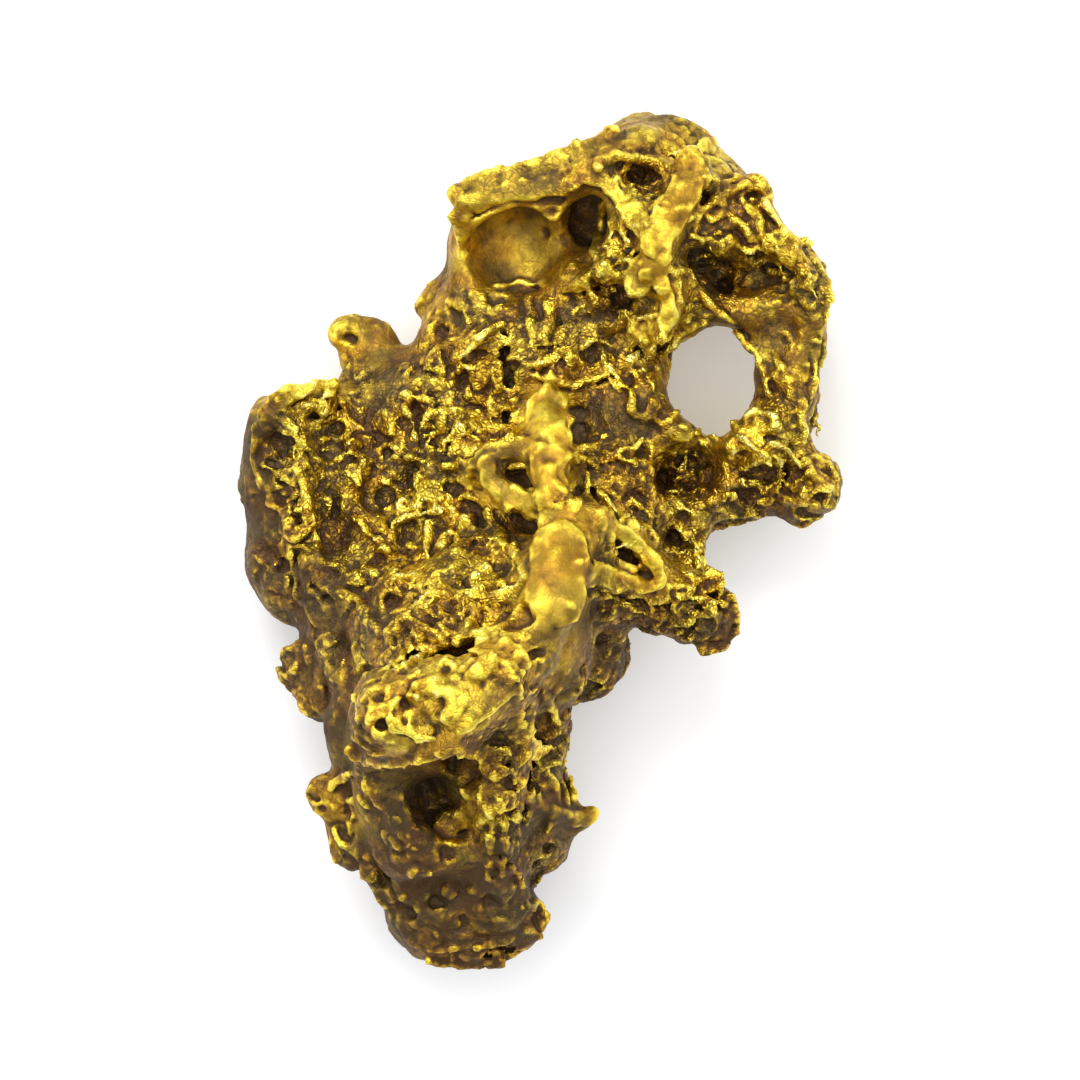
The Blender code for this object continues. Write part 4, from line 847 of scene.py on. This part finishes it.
near = np.nonzero(np.abs(field) < NEAR)
spots = np.stack([AXES[i][near[i]] for i in range(3)], axis=1)
rise = np.clip(np.gradient(field, CELL, axis=2)[near], 0, 1)
held = np.maximum(calm[near[0], near[1]], RIB_CALM * polish[near])
rough = (1 - held) * (STEEP_SHARE + (1 - STEEP_SHARE) * rise)
warp = np.stack([rolling_noise(spots, WARP_SIZE, seed) for seed in (3, 4, 5)], axis=1) * WARP
bent = spots + warp
swell = rolling_noise(spots, SWELL_SIZE, 11) * SWELL
wrinkle = (0.5 - np.abs(rolling_noise(bent, WRINKLE_SIZE, 12)) * WRINKLE_FOLD) * WRINKLE
patchy = np.clip(0.75 + 0.9 * rolling_noise(spots, PATCH_SIZE, 17), 0.25, 1.3)
grains = crystals(bent, *LUMPS, 13) + crystals(bent, *GRAINS, 14) + crystals(bent, *GRIT, 15)
field[near] += swell + wrinkle * (0.3 + 0.7 * rough) + grains * patchy * (0.10 + 0.90 * rough)
print(len(spots), "cells disturbed")

# %% [markdown]
# The nugget lies on its feet, so whatever the noise pushed below the surface that it rests on is
# cut off flat, as the solid's feet are.

# %% Flatten the feet
field = np.maximum(field, -AXES[2][None, None, :])
print("feet flat at 0 mm")

# %% [markdown]
# ## From the field to a skin
# The skin is where the field is nought. The mesh that follows it is welded, and any crumb that
# hangs free of the main body is dropped. It has more faces than the shape needs, so the ones
# that lie nearly flat are melted together.

# %% Take the surface out of the field
def surface_of(values):
    """Vertices in millimetres and four-cornered faces of the surface where the field is nought."""
    grid = openvdb.FloatGrid(float(values.max()))
    grid.copyFromArray(values)
    points, _, quads = grid.convertToPolygons()
    return points.astype(np.float64) * CELL + ORIGIN, quads


def keep_main_body(points, quads):
    """Drop what isn't joined to the biggest body: each vertex takes its group's lowest number."""
    ends = np.concatenate([quads[:, [0, 1]], quads[:, [1, 2]], quads[:, [2, 3]]]).astype(np.int64)
    group = np.arange(len(points))
    while True:
        lowest = np.minimum(group[ends[:, 0]], group[ends[:, 1]])
        before = group.copy()
        np.minimum.at(group, ends[:, 0], lowest)
        np.minimum.at(group, ends[:, 1], lowest)
        group = group[group]
        if (group == before).all():
            break
    keep = group == np.bincount(group).argmax()
    number = np.cumsum(keep) - 1
    return points[keep], number[quads[keep[quads[:, 0]]].astype(np.int64)]


points, quads = keep_main_body(*surface_of(field))
print(len(points), "vertices and", len(quads), "faces")


# %% [markdown]
# The nugget lies on its underside, so that may lose more faces than the rest. A vertex group
# tells the Decimate modifier how readily each part may be melted away.

# %% Put the surface into a mesh and thin it
TRIANGLES = 196000
UNDERSIDE = -0.25
EASE_UNDER, EASE_TOP = 1.0, 0.35


def mesh_from_arrays(name, places, faces):
    """A mesh whose vertices and four-cornered faces are copied from arrays in one go."""
    mesh = bpy.data.meshes.new(name)
    mesh.vertices.add(len(places))
    mesh.vertices.foreach_set("co", places.astype(np.float32).ravel())
    mesh.loops.add(faces.size)
    mesh.loops.foreach_set("vertex_index", faces.astype(np.int32).ravel())
    mesh.polygons.add(len(faces))
    mesh.polygons.foreach_set("loop_start", np.arange(0, faces.size, 4, dtype=np.int32))
    mesh.polygons.foreach_set("loop_total", np.full(len(faces), 4, np.int32))
    mesh.update(calc_edges=True)
    mesh.validate()
    return mesh


def thinned(mesh, triangles):
    """The mesh with its flattest edges melted away until so many triangles are left."""
    thing = bpy.data.objects.new("thinning", mesh)
    bpy.context.scene.collection.objects.link(thing)
    facing = np.empty(len(mesh.vertices) * 3, np.float32)
    mesh.vertices.foreach_get("normal", facing)
    under = facing[2::3] < UNDERSIDE
    ease = thing.vertex_groups.new(name="ease")
    for weight, chosen in ((EASE_UNDER, under), (EASE_TOP, ~under)):
        ease.add(np.nonzero(chosen)[0].tolist(), weight, "REPLACE")
    thin = thing.modifiers.new("thin", "DECIMATE")
    thin.vertex_group = "ease"
    thin.ratio = triangles / (2 * len(mesh.polygons))
    thin.use_collapse_triangulate = True
    result = bpy.data.meshes.new_from_object(
        thing.evaluated_get(bpy.context.evaluated_depsgraph_get()))
    bpy.data.objects.remove(thing, do_unlink=True)
    return result


skin_mesh = thinned(mesh_from_arrays("full_skin", points, quads), TRIANGLES)
skin_mesh.name = "gold_skin"
print("thinned to", len(skin_mesh.vertices), "vertices and", len(skin_mesh.polygons), "triangles")

# %% [markdown]
# ## Where dirt stays, where shade is painted and where metal shines
# A nugget is brightest where it was rubbed and browner where iron stain and clay stayed in its
# pits.
# Under ledges and on the lower flanks the colour is darkened as well, as painted shade. How much
# gold surrounds a spot tells which it is. The share of filled cells near a flat place is a half,
# on a ridge it is less, and in a pit it is more.
# Blurs of different reach measure that for the finest crests, for grains, for pits and for whole
# hollows. One more, measured a little above the skin, tells what lies under a ledge.

# %% Measure what surrounds each vertex
SKY_HEIGHT = 0.9


def sampled(values, cell, places):
    """Value of a block at places between its cells, weighted by how near each of 8 cells is."""
    at = (places - ORIGIN) / cell
    low = np.clip(np.floor(at).astype(int), 0, np.array(values.shape) - 2)
    part = np.clip(at - low, 0, 1)
    total = np.zeros(len(places))
    for step in np.ndindex(2, 2, 2):
        corner = low + step
        share = np.prod(np.where(step, part, 1 - part), axis=1)
        total += share * values[corner[:, 0], corner[:, 1], corner[:, 2]]
    return total


filled = np.clip(0.5 - field[::2, ::2, ::2] / COARSE, 0, 1)
with_floor = filled.copy()
with_floor[:, :, AXES[2][::2] < 0] = 1.0

places = np.empty(len(skin_mesh.vertices) * 3, np.float32)
skin_mesh.vertices.foreach_get("co", places)
places = places.reshape(-1, 3).astype(np.float64)
normals = np.empty(len(places) * 3, np.float32)
skin_mesh.vertices.foreach_get("normal", normals)
normals = normals.reshape(-1, 3)

fine_share = sampled(blurred(np.clip(0.5 - field / CELL, 0, 1), 2, 1), CELL, places)
grain_share = sampled(blurred(filled, 1), COARSE, places)
pit_share = sampled(blurred(filled, 3), COARSE, places)
hollow_share = sampled(blurred(with_floor, 8), COARSE, places)
sky_share = sampled(blurred(with_floor, 5), COARSE, places + np.array((0, 0, SKY_HEIGHT)))
for label, share in (("fine", fine_share), ("grain", grain_share), ("pit", pit_share),
                     ("hollow", hollow_share), ("sky", sky_share)):
    print(label, "share, low to high:", np.percentile(share, (2, 25, 50, 75, 98)).round(2))

# %% [markdown]
# No form explains why one lobe was rubbed bright and the wall beside it stayed brown, so those
# differences are painted, as strokes in plan like those of the calm map. Some strokes paint shade
# instead of stain: on the front, the foot, under the arm and under the knob, and one paints a
# highlight on the lump.

# %% Paint the stains, painted shade and a painted highlight: place, radius, how brown, and line
STAIN_SHADE_AND_HIGHLIGHT_STROKES = (
    ("bright bed", 0.80, 0.04, ((-2.6, 0.7), (-2.6, -0.9), (-1.2, -0.8), (-0.6, -1.7))),
    ("lump top", 0.85, 0.32, ((-4.0, -3.6), (-2.6, -3.4), (-1.4, -3.0))),
    # a painted highlight on the lump
    ("lump shine", 0.60, 0.00, ((-3.3, -4.7), (-2.2, -4.2))),
    ("big lobe", 0.70, 0.47, ((0.5, 0.3), (0.5, 0.0), (0.4, -1.6))),
    ("flank top", 0.45, 0.62, ((-0.5, -2.3), (0.4, -2.6))),
    ("star", 0.60, 0.40, ((0.25, 3.4), (0.3, 1.6), (-1.0, 1.4))),
    ("arm", 0.65, 0.20, ((1.4, 0.3), (2.6, -0.6), (3.9, -0.9))),
    ("brow", 0.60, 0.53, ((-1.9, 8.5), (0.2, 9.1), (1.6, 9.8))),
    ("forehead", 0.80, 0.52, ((1.2, 10.4), (2.4, 10.8), (3.6, 10.6))),
    ("facets", 0.90, 0.08, ((2.6, 8.4), (2.4, 7.4), (1.6, 6.8))),
    ("cave lip", 0.60, 0.06, ((0.9, 6.6), (0.4, 6.4), (1.4, 6.5))),
    ("cap", 1.10, 0.22, ((3.9, 9.3), (4.8, 8.4), (5.7, 7.6))),
    ("hook bank", 0.70, 0.16, ((2.5, 6.3), (3.2, 5.7), (2.7, 5.2))),
    ("cave floor", 1.10, 0.30, ((-1.2, 7.3), (-0.3, 7.6))),
    ("right chamber", 0.55, 0.66, ((1.4, 8.2), (1.3, 7.6))),
    ("brown wall", 0.80, 0.62, ((5.9, 5.5), (6.3, 4.8))),
    ("far edge", 0.45, 0.62, ((7.3, 5.6), (7.4, 4.8))),
    ("over the hole", 0.60, 0.46, ((3.9, 6.3), (4.8, 6.6), (5.6, 6.3))),
    ("hole bank", 0.65, 0.10, ((4.6, 2.4), (5.6, 2.7), (6.6, 2.4))),
    # painted shade under the knob
    ("under the knob", 0.45, 0.75, ((5.9, 0.6), (6.9, 0.3))),
    ("web", 0.75, 0.48, ((2.9, 2.3), (3.4, 1.2), (4.6, 1.3))),
    ("middle bed", 1.10, 0.36, ((-1.6, 4.4), (0.0, 4.6), (1.6, 4.4), (-2.8, 2.9))),
    ("left bed", 1.00, 0.30, ((-5.0, 1.6), (-4.2, 0.4), (-3.4, 1.3))),
    ("left rim bed", 0.55, 0.10, ((-6.0, 3.7), (-5.5, 2.6), (-5.5, 1.4))),
    ("left flank", 0.60, 0.92, ((-7.3, 2.4), (-7.1, 1.2), (-6.8, -0.6), (-6.2, -1.8))),
    ("neck", 0.65, 0.85, ((-5.7, -1.3), (-5.4, -2.8), (-5.3, -3.8))),
    ("side knob", 0.60, 0.82, ((-6.5, -2.5), (-6.0, -3.2), (-5.7, -4.1))),
    ("lump ball", 0.65, 0.95, ((-5.1, -3.6), (-5.0, -4.4), (-5.0, -5.2))),
    # painted shade on the front knobs and the front left
    ("front knobs", 0.60, 0.72, ((-5.3, -5.9), (-5.1, -7.0))),
    ("front left", 0.70, 1.00, ((-4.3, -8.2), (-3.9, -8.9), (-3.2, -10.0))),
    ("column patch", 0.45, 0.10, ((-2.0, -7.1), (-1.2, -6.6))),
    ("back knobs", 0.80, 0.68, ((-4.9, 5.5), (-4.0, 5.0), (-3.7, 4.4))),
    ("back ball", 0.50, 0.50, ((-2.6, 6.1), (-2.5, 5.8))),
    ("shaded flank", 0.45, 0.80, ((1.0, -2.2), (0.7, -3.2), (-0.2, -4.2))),
    # painted shade under the arm
    ("under the arm", 0.85, 0.92, ((2.6, -2.2), (2.1, -3.6), (1.4, -4.8))),
    ("arm end", 0.50, 0.85, ((3.5, -2.4), (4.3, -2.6), (4.9, -2.4))),
    # painted shade on the front wall, the front right and the foot
    ("front wall", 1.00, 0.84, ((-3.8, -5.9), (-3.2, -6.7), (-2.4, -6.9), (-1.4, -5.6))),
    ("front wall low", 1.60, 1.00, ((-3.4, -8.6), (-2.0, -9.0), (-0.9, -8.2))),
    ("front right", 0.75, 0.78, ((-0.6, -6.2), (0.4, -7.6), (0.3, -9.0))),
    ("foot", 0.70, 1.05, ((-2.8, -10.6), (-1.2, -11.0), (0.2, -10.4))),
)

print(len(STAIN_SHADE_AND_HIGHLIGHT_STROKES), "strokes of stain")

# %% [markdown]
# Three attributes carry the answers to the material: grain is how crystalline the skin is, the
# second is how brown it is painted, from stain and from painted shade and highlights, and crest
# tells the finest ridges from the finest clefts. What faces up kept a film of clay, and what lies
# under a ledge is darkened as painted shade. What faces sideways or down was rubbed clean,
# wherever the calm map or the polish says that the skin is smooth.

# %% Store the attributes
BED_STAIN, PIT_STAIN, FILM_AND_LEDGE_SHADE = 0.36, 0.36, 0.28
WORN_PROUD, WORN_RIB = 0.7, 0.9
SMOOTH_GRAIN = 0.85


def smooth_step(values, low, high):
    """Nought below the low value, one above the high one, and an S-shaped rise between."""
    part = np.clip((values - low) / (high - low), 0, 1)
    return part * part * (3 - 2 * part)


def sampled_plan(plan, places):
    """Value of a map in plan at each place."""
    i = np.clip(((places[:, 0] - ORIGIN[0]) / CELL).round().astype(int), 0, SHAPE[0] - 1)
    j = np.clip(((places[:, 1] - ORIGIN[1]) / CELL).round().astype(int), 0, SHAPE[1] - 1)
    return plan[i, j]


def store(mesh, name, values):
    """Write one number for each vertex as an attribute."""
    data = mesh.attributes.new(name, "FLOAT", "POINT").data
    data.foreach_set("value", values.astype(np.float32))


smooth = sampled_plan(calm, places)
downward = -normals[:, 2]
worn = smooth * smooth_step(downward, -0.2, 0.3)
prominent = smooth_step(-hollow_share, -0.34, -0.20) * smooth_step(downward, 0.0, 0.6)
rib = sampled(polish, CELL, places) * smooth_step(downward, -0.4, 0.2)
worn = np.maximum(np.maximum(worn, WORN_PROUD * prominent), WORN_RIB * rib)
grain = 1 - SMOOTH_GRAIN * np.maximum(smooth, rib)
pit = np.maximum(smooth_step(grain_share, 0.54, 0.74), smooth_step(pit_share, 0.50, 0.74))
# a film on what faces up, and painted shade under ledges
film_and_ledge_shade = np.maximum(smooth_step(sky_share, 0.10, 0.60), smooth_step(-downward, -0.70, 0.10))
# the strokes mix stain with painted shade and a painted highlight
fades, levels = stroke_fades(STAIN_SHADE_AND_HIGHLIGHT_STROKES)
weight = 0.8 + 0.2 * smooth_step(downward, -0.1, 0.3)
weight = sampled_plan(fades.max(axis=0), places) * weight
level = sampled_plan((fades * levels).sum(axis=0) / np.maximum(fades.sum(axis=0), 1e-6), places)
stain_shade_and_highlight = np.clip(BED_STAIN * (1 - worn) + PIT_STAIN * pit + FILM_AND_LEDGE_SHADE * film_and_ledge_shade, 0, 1)
stain_shade_and_highlight = stain_shade_and_highlight * (1 - weight) + weight * (0.5 * level + 0.5 * np.maximum(stain_shade_and_highlight, level))
crest = smooth_step(-fine_share, -0.48, -0.30) - smooth_step(fine_share, 0.52, 0.70)
for name, values in (("grain", grain), ("stain_shade_and_highlight", stain_shade_and_highlight), ("crest", crest)):
    store(skin_mesh, name, values)
    print(name, "on average", values.mean().round(2))

# %% Scale the skin to the solid's box
low, high = places.min(0), places.max(0)
fitted = BOX_LOW + (places - low) / (high - low) * (BOX_HIGH - BOX_LOW)
skin_mesh.vertices.foreach_set("co", (fitted * MM).astype(np.float32).ravel())
skin_mesh.update()
skin_mesh.shade_smooth()
skin = bpy.data.objects.new("gold_skin", skin_mesh)
bpy.context.scene.collection.objects.link(skin)
print("stretched by", ((BOX_HIGH - BOX_LOW) / (high - low)).round(3))

# %% [markdown]
# ## The gold
# Natural gold holds a little silver, so it is a paler yellow than pure gold, and mixed with the
# ochre of iron stain. The stain, which also carries painted shade and painted highlights,
# follows the attributes, broken up by noise so that its edge is never even. Stained and shaded
# places are rougher and less metallic, and a fine bump stands for the grains too small for the
# mesh. The nodes stand in the material itself, as no other material uses them. Their scales are
# in cells to the metre, so 1000 is one to the millimetre.

# %% Build the gold
BLOTCHES, PATCHES, SPECKS = 800.0, 360.0, 4200.0


def new_node(tree, kind, **values):
    """Add a node and set its named inputs or properties."""
    node = tree.nodes.new(kind)
    for name, value in values.items():
        if hasattr(node, name):
            setattr(node, name, value)
        else:
            node.inputs[name.replace("_", " ")].default_value = value
    return node


def maths(tree, operation, first, second):
    """Add a maths node that is fed by two sockets or numbers, and return its result."""
    node = tree.nodes.new("ShaderNodeMath")
    node.operation = operation
    for slot, value in enumerate((first, second)):
        if isinstance(value, (int, float)):
            node.inputs[slot].default_value = value
        else:
            tree.links.new(value, node.inputs[slot])
    return node.outputs[0]


def ramp(tree, factor, stops):
    """Add a colour ramp with stops of place and colour, and return its colour."""
    node = tree.nodes.new("ShaderNodeValToRGB")
    node.color_ramp.elements[0].position = stops[0][0]
    node.color_ramp.elements[0].color = (*stops[0][1], 1.0)
    node.color_ramp.elements[1].position = stops[-1][0]
    node.color_ramp.elements[1].color = (*stops[-1][1], 1.0)
    for place, colour in stops[1:-1]:
        node.color_ramp.elements.new(place).color = (*colour, 1.0)
    tree.links.new(factor, node.inputs["Fac"])
    return node.outputs["Color"]


gold = bpy.data.materials.new("natural gold")
gold.use_nodes = True
tree = gold.node_tree
shader = tree.nodes["Principled BSDF"]
where = new_node(tree, "ShaderNodeTexCoord").outputs["Object"]


def noise(scale, detail=3.0, roughness=0.6):
    """Add a noise texture on object coordinates and return its grey value."""
    node = new_node(tree, "ShaderNodeTexNoise", Scale=scale, Detail=detail, Roughness=roughness)
    tree.links.new(where, node.inputs["Vector"])
    return node.outputs["Fac"]


def attribute(name):
    """Add a node that reads one of the skin's attributes."""
    return new_node(tree, "ShaderNodeAttribute", attribute_name=name).outputs["Fac"]


def times(value, factor):
    """Multiply a socket by a number or another socket."""
    return maths(tree, "MULTIPLY", value, factor)


def plus(first, second):
    """Add two sockets or numbers."""
    return maths(tree, "ADD", first, second)


def spread(factor, low, high, bottom, top):
    """Map a value from one range to another, held at the ends."""
    node = new_node(tree, "ShaderNodeMapRange")
    for name, value in (("From Min", low), ("From Max", high),
                        ("To Min", bottom), ("To Max", top)):
        node.inputs[name].default_value = value
    tree.links.new(factor, node.inputs["Value"])
    return node.outputs["Result"]


grainy = attribute("grain")
blotch = maths(tree, "SUBTRACT", noise(BLOTCHES, detail=2.0), 0.5)
patch = maths(tree, "SUBTRACT", noise(PATCHES, detail=1.0), 0.5)
speck = maths(tree, "SUBTRACT", noise(SPECKS, detail=2.0), 0.5)
print("blotches of", 1000 / BLOTCHES, "mm and specks of", round(1000 / SPECKS, 2), "mm")

# %% [markdown]
# Two sets of Voronoi cells stand for crystals that are too small for the mesh: plates a third of
# a millimetre across with cracks between them, and grit of a seventh. Their places are pushed
# about by noise first, because straight cell walls look like cut glass.

# %% Scatter the crystals that are too small for the mesh
PLATES, PLATE_BEND, PLATE_PUSH = 2900.0, 2600.0, 0.35 * MM
GRITS, GRIT_BEND, GRIT_PUSH = 7200.0, 5200.0, 0.16 * MM


def bent_places(scale, amount):
    """Object coordinates pushed about by a noise of a scale, by an amount in metres."""
    push = new_node(tree, "ShaderNodeTexNoise", Scale=scale, Detail=1.0)
    tree.links.new(where, push.inputs["Vector"])
    moved = new_node(tree, "ShaderNodeVectorMath", operation="MULTIPLY_ADD")
    moved.inputs[1].default_value = (amount, amount, amount)
    tree.links.new(push.outputs["Color"], moved.inputs[0])
    tree.links.new(where, moved.inputs[2])
    return moved.outputs["Vector"]


def crystal_cells(places, scale):
    """Add cells of crystals, and return each one's own tone and the distance to its edge."""
    cells = new_node(tree, "ShaderNodeTexVoronoi", Scale=scale)
    edges = new_node(tree, "ShaderNodeTexVoronoi", Scale=scale, feature="DISTANCE_TO_EDGE")
    for node in (cells, edges):
        tree.links.new(places, node.inputs["Vector"])
    return cells.outputs["Color"], edges.outputs["Distance"]


def leaning(tone, amount):
    """Turn a cell's tone into a sideways push of the normal, by an amount."""
    centred = new_node(tree, "ShaderNodeVectorMath", operation="SUBTRACT")
    centred.inputs[1].default_value = (0.5, 0.5, 0.5)
    tree.links.new(tone, centred.inputs[0])
    lean = new_node(tree, "ShaderNodeVectorMath", operation="SCALE")
    tree.links.new(centred.outputs["Vector"], lean.inputs[0])
    tree.links.new(amount, lean.inputs["Scale"])
    return lean.outputs["Vector"]


def red_of(tone):
    """One grey value of a cell's tone, centred on nought."""
    split = new_node(tree, "ShaderNodeSeparateColor")
    tree.links.new(tone, split.inputs["Color"])
    return maths(tree, "SUBTRACT", split.outputs["Red"], 0.5)


plate_tone, plate_edge = crystal_cells(bent_places(PLATE_BEND, PLATE_PUSH), PLATES)
grit_tone, grit_edge = crystal_cells(bent_places(GRIT_BEND, GRIT_PUSH), GRITS)
some_plates = spread(noise(1700.0, detail=1.0), 0.45, 0.60, 0.0, 1.0)
crack = times(spread(plate_edge, 0.02, 0.13, 1.0, 0.0), some_plates)
crack = times(crack, grainy)
gap = spread(grit_edge, 0.03, 0.14, 1.0, 0.0)
print("plates of", round(1000 / PLATES, 2), "mm and grit of", round(1000 / GRITS, 2), "mm")

# %% [markdown]
# The stain is a sum: the attribute, less on a crest, more in a crack, and noise of three sizes.
# Less on the finest crests is a painted highlight, and more in the finest clefts is painted shade.
# Two colour ramps turn it into metal, one towards ochre and one towards olive, and a slow noise
# drifts between them, as the skin of a real nugget does. The pale cream first stop of each ramp is
# a painted highlight colour.

# %% Mix the stain, painted shade and painted highlights
stain_shade_and_highlight = plus(attribute("stain_shade_and_highlight"), times(attribute("crest"), -0.46))
fine_stain = plus(times(red_of(grit_tone), 0.18), times(gap, 0.10))
stain_shade_and_highlight = plus(stain_shade_and_highlight, times(fine_stain, grainy))
stain_shade_and_highlight = plus(stain_shade_and_highlight, times(times(red_of(plate_tone), grainy), 0.20))
stain_shade_and_highlight = plus(stain_shade_and_highlight, times(crack, 0.32))
stain_shade_and_highlight = plus(plus(stain_shade_and_highlight, 0.04), plus(times(blotch, 0.70), times(speck, 0.18)))
stain_shade_and_highlight = plus(stain_shade_and_highlight, times(patch, 0.45))
OCHRE_STOPS = (
    (0.00, (1.00, 0.87, 0.240)),
    (0.14, (0.98, 0.77, 0.090)),
    (0.36, (0.87, 0.58, 0.040)),
    (0.56, (0.52, 0.27, 0.022)),
    (0.76, (0.27, 0.125, 0.020)),
    (1.00, (0.125, 0.060, 0.025)),
)
OLIVE_STOPS = (
    (0.00, (1.00, 0.90, 0.300)),
    (0.14, (0.97, 0.81, 0.120)),
    (0.36, (0.82, 0.68, 0.075)),
    (0.56, (0.43, 0.32, 0.042)),
    (0.76, (0.19, 0.145, 0.034)),
    (1.00, (0.090, 0.070, 0.035)),
)
tint = new_node(tree, "ShaderNodeMix", data_type="RGBA")
tree.links.new(spread(noise(900.0, detail=1.0), 0.42, 0.58, 0.28, 0.66), tint.inputs["Factor"])
# A Mix node has a set of sockets for each kind of data. These are its places for colours.
COLOUR_A, COLOUR_B, MIXED_COLOUR = 6, 7, 2
tree.links.new(ramp(tree, stain_shade_and_highlight, OCHRE_STOPS), tint.inputs[COLOUR_A])
tree.links.new(ramp(tree, stain_shade_and_highlight, OLIVE_STOPS), tint.inputs[COLOUR_B])
tree.links.new(tint.outputs[MIXED_COLOUR], shader.inputs["Base Color"])
rough_by_wear = spread(grainy, 0.0, 1.0, 0.46, 0.30)
rough_by_stain = spread(stain_shade_and_highlight, 0.45, 1.0, 0.0, 0.30)
tree.links.new(plus(rough_by_wear, rough_by_stain), shader.inputs["Roughness"])
tree.links.new(spread(stain_shade_and_highlight, 0.60, 1.0, 1.0, 0.88), shader.inputs["Metallic"])
shader.inputs["Specular IOR Level"].default_value = 0.25
print("stain runs through", len(OCHRE_STOPS), "tones of ochre and", len(OLIVE_STOPS), "of olive")

# %% [markdown]
# A crystal glints because its whole face is tilted, so each cell also pushes the normal its own
# way. Worn metal hardly does that, so the push follows the grain. Only the grit is raised by the
# bump, because a bump works its height out three times over, and cells are slow to work out.

# %% Raise the crystals and tilt each one its own way
bump = new_node(tree, "ShaderNodeBump", Strength=0.8, Distance=0.05 * MM)
raised_grit = times(spread(grit_edge, 0.0, 0.25, 0.0, 0.5), grainy)
fine_noise = noise(9000.0, detail=3.0, roughness=0.65)
relief = plus(raised_grit, times(fine_noise, spread(grainy, 0.0, 1.0, 0.12, 0.28)))
tree.links.new(relief, bump.inputs["Height"])
tipped = bump.outputs["Normal"]
for push in (leaning(plate_tone, spread(grainy, 0.0, 1.0, 0.06, 0.58)),
             leaning(grit_tone, times(grainy, 0.26))):
    added = new_node(tree, "ShaderNodeVectorMath", operation="ADD")
    tree.links.new(tipped, added.inputs[0])
    tree.links.new(push, added.inputs[1])
    tipped = added.outputs["Vector"]
facet = new_node(tree, "ShaderNodeVectorMath", operation="NORMALIZE")
tree.links.new(tipped, facet.inputs[0])
tree.links.new(facet.outputs["Vector"], shader.inputs["Normal"])
skin_mesh.materials.append(gold)
print(len(tree.nodes), "nodes in the gold")

# %% Tell the frame what the skin is
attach(skin, "root")
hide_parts("nugget")
print(skin.name, "stands for the nugget")

# %% [markdown]
# ## Floor, light and camera
# The nugget lies on plain white paper. Gold shows what it mirrors, so one large soft lamp
# overhead gives the broad sheen, a smaller one beyond the head draws the highlights, and a weak
# one on either side keeps the walls from going black. The camera looks straight down with a
# long lens.

# %% The floor
FLOOR_REACH = 2.0
PAPER = 0.86
floor_mesh = bpy.data.meshes.new("floor")
floor_corners = [(x * FLOOR_REACH, y * FLOOR_REACH, 0) for x, y in
                 ((-1, -1), (1, -1), (1, 1), (-1, 1))]
floor_mesh.from_pydata(floor_corners, [], [(0, 1, 2, 3)])
floor = bpy.data.objects.new("floor", floor_mesh)
bpy.context.scene.collection.objects.link(floor)
paper = bpy.data.materials.new("white paper")
paper.use_nodes = True
sheet = paper.node_tree.nodes["Principled BSDF"]
sheet.inputs["Base Color"].default_value = (PAPER, PAPER, PAPER, 1.0)
sheet.inputs["Roughness"].default_value = 0.8
sheet.inputs["Emission Color"].default_value = (1.0, 1.0, 1.0, 1.0)
sheet.inputs["Emission Strength"].default_value = 0.20
floor_mesh.materials.append(paper)
print("floor laid")


# %% The lights
def power_for(radiance, size):
    """Watts for a square lamp of a radiance: pi times its area times the radiance."""
    return np.pi * size * size * radiance


def softbox(name, place, size, power, aim=(0.0, 0.0, 0.004)):
    """A square area light at a place, turned to face the nugget."""
    lamp = bpy.data.lights.new(name, "AREA")
    lamp.size = size
    lamp.energy = power
    thing = bpy.data.objects.new(name, lamp)
    thing.location = place
    thing.rotation_euler = (Vector(aim) - Vector(place)).to_track_quat("-Z", "Y").to_euler()
    bpy.context.scene.collection.objects.link(thing)
    return thing


softbox("overhead", (0.0, 0.08, 0.50), 0.75, power_for(1.34, 0.75))
softbox("key", (-0.08, 0.26, 0.30), 0.18, power_for(6.7, 0.18))
softbox("left", (-0.42, 0.10, 0.20), 0.34, power_for(1.1, 0.34))
softbox("right", (0.42, 0.10, 0.20), 0.34, power_for(0.9, 0.34))
world = bpy.data.worlds.new("studio")
world.use_nodes = True
world.node_tree.nodes["Background"].inputs["Color"].default_value = (0.95, 0.97, 1.0, 1.0)
world.node_tree.nodes["Background"].inputs["Strength"].default_value = 0.56
bpy.context.scene.world = world
bpy.context.scene.view_settings.view_transform = "Standard"
print("four soft lamps and a dim room")

# %% The camera
VIEW_DISTANCE = 0.30
VIEW_WIDTH = 0.027
MID_HEIGHT = 0.0045
camera_data = bpy.data.cameras.new("camera")
camera_data.sensor_width = 36.0
camera_data.lens = camera_data.sensor_width * VIEW_DISTANCE / VIEW_WIDTH
camera_data.clip_start = 0.01
camera = bpy.data.objects.new("camera", camera_data)
camera.location = (0.0, 0.0, MID_HEIGHT + VIEW_DISTANCE)
bpy.context.scene.collection.objects.link(camera)
bpy.context.scene.camera = camera
print("camera", VIEW_DISTANCE, "m above, with a lens of", camera_data.lens, "mm")
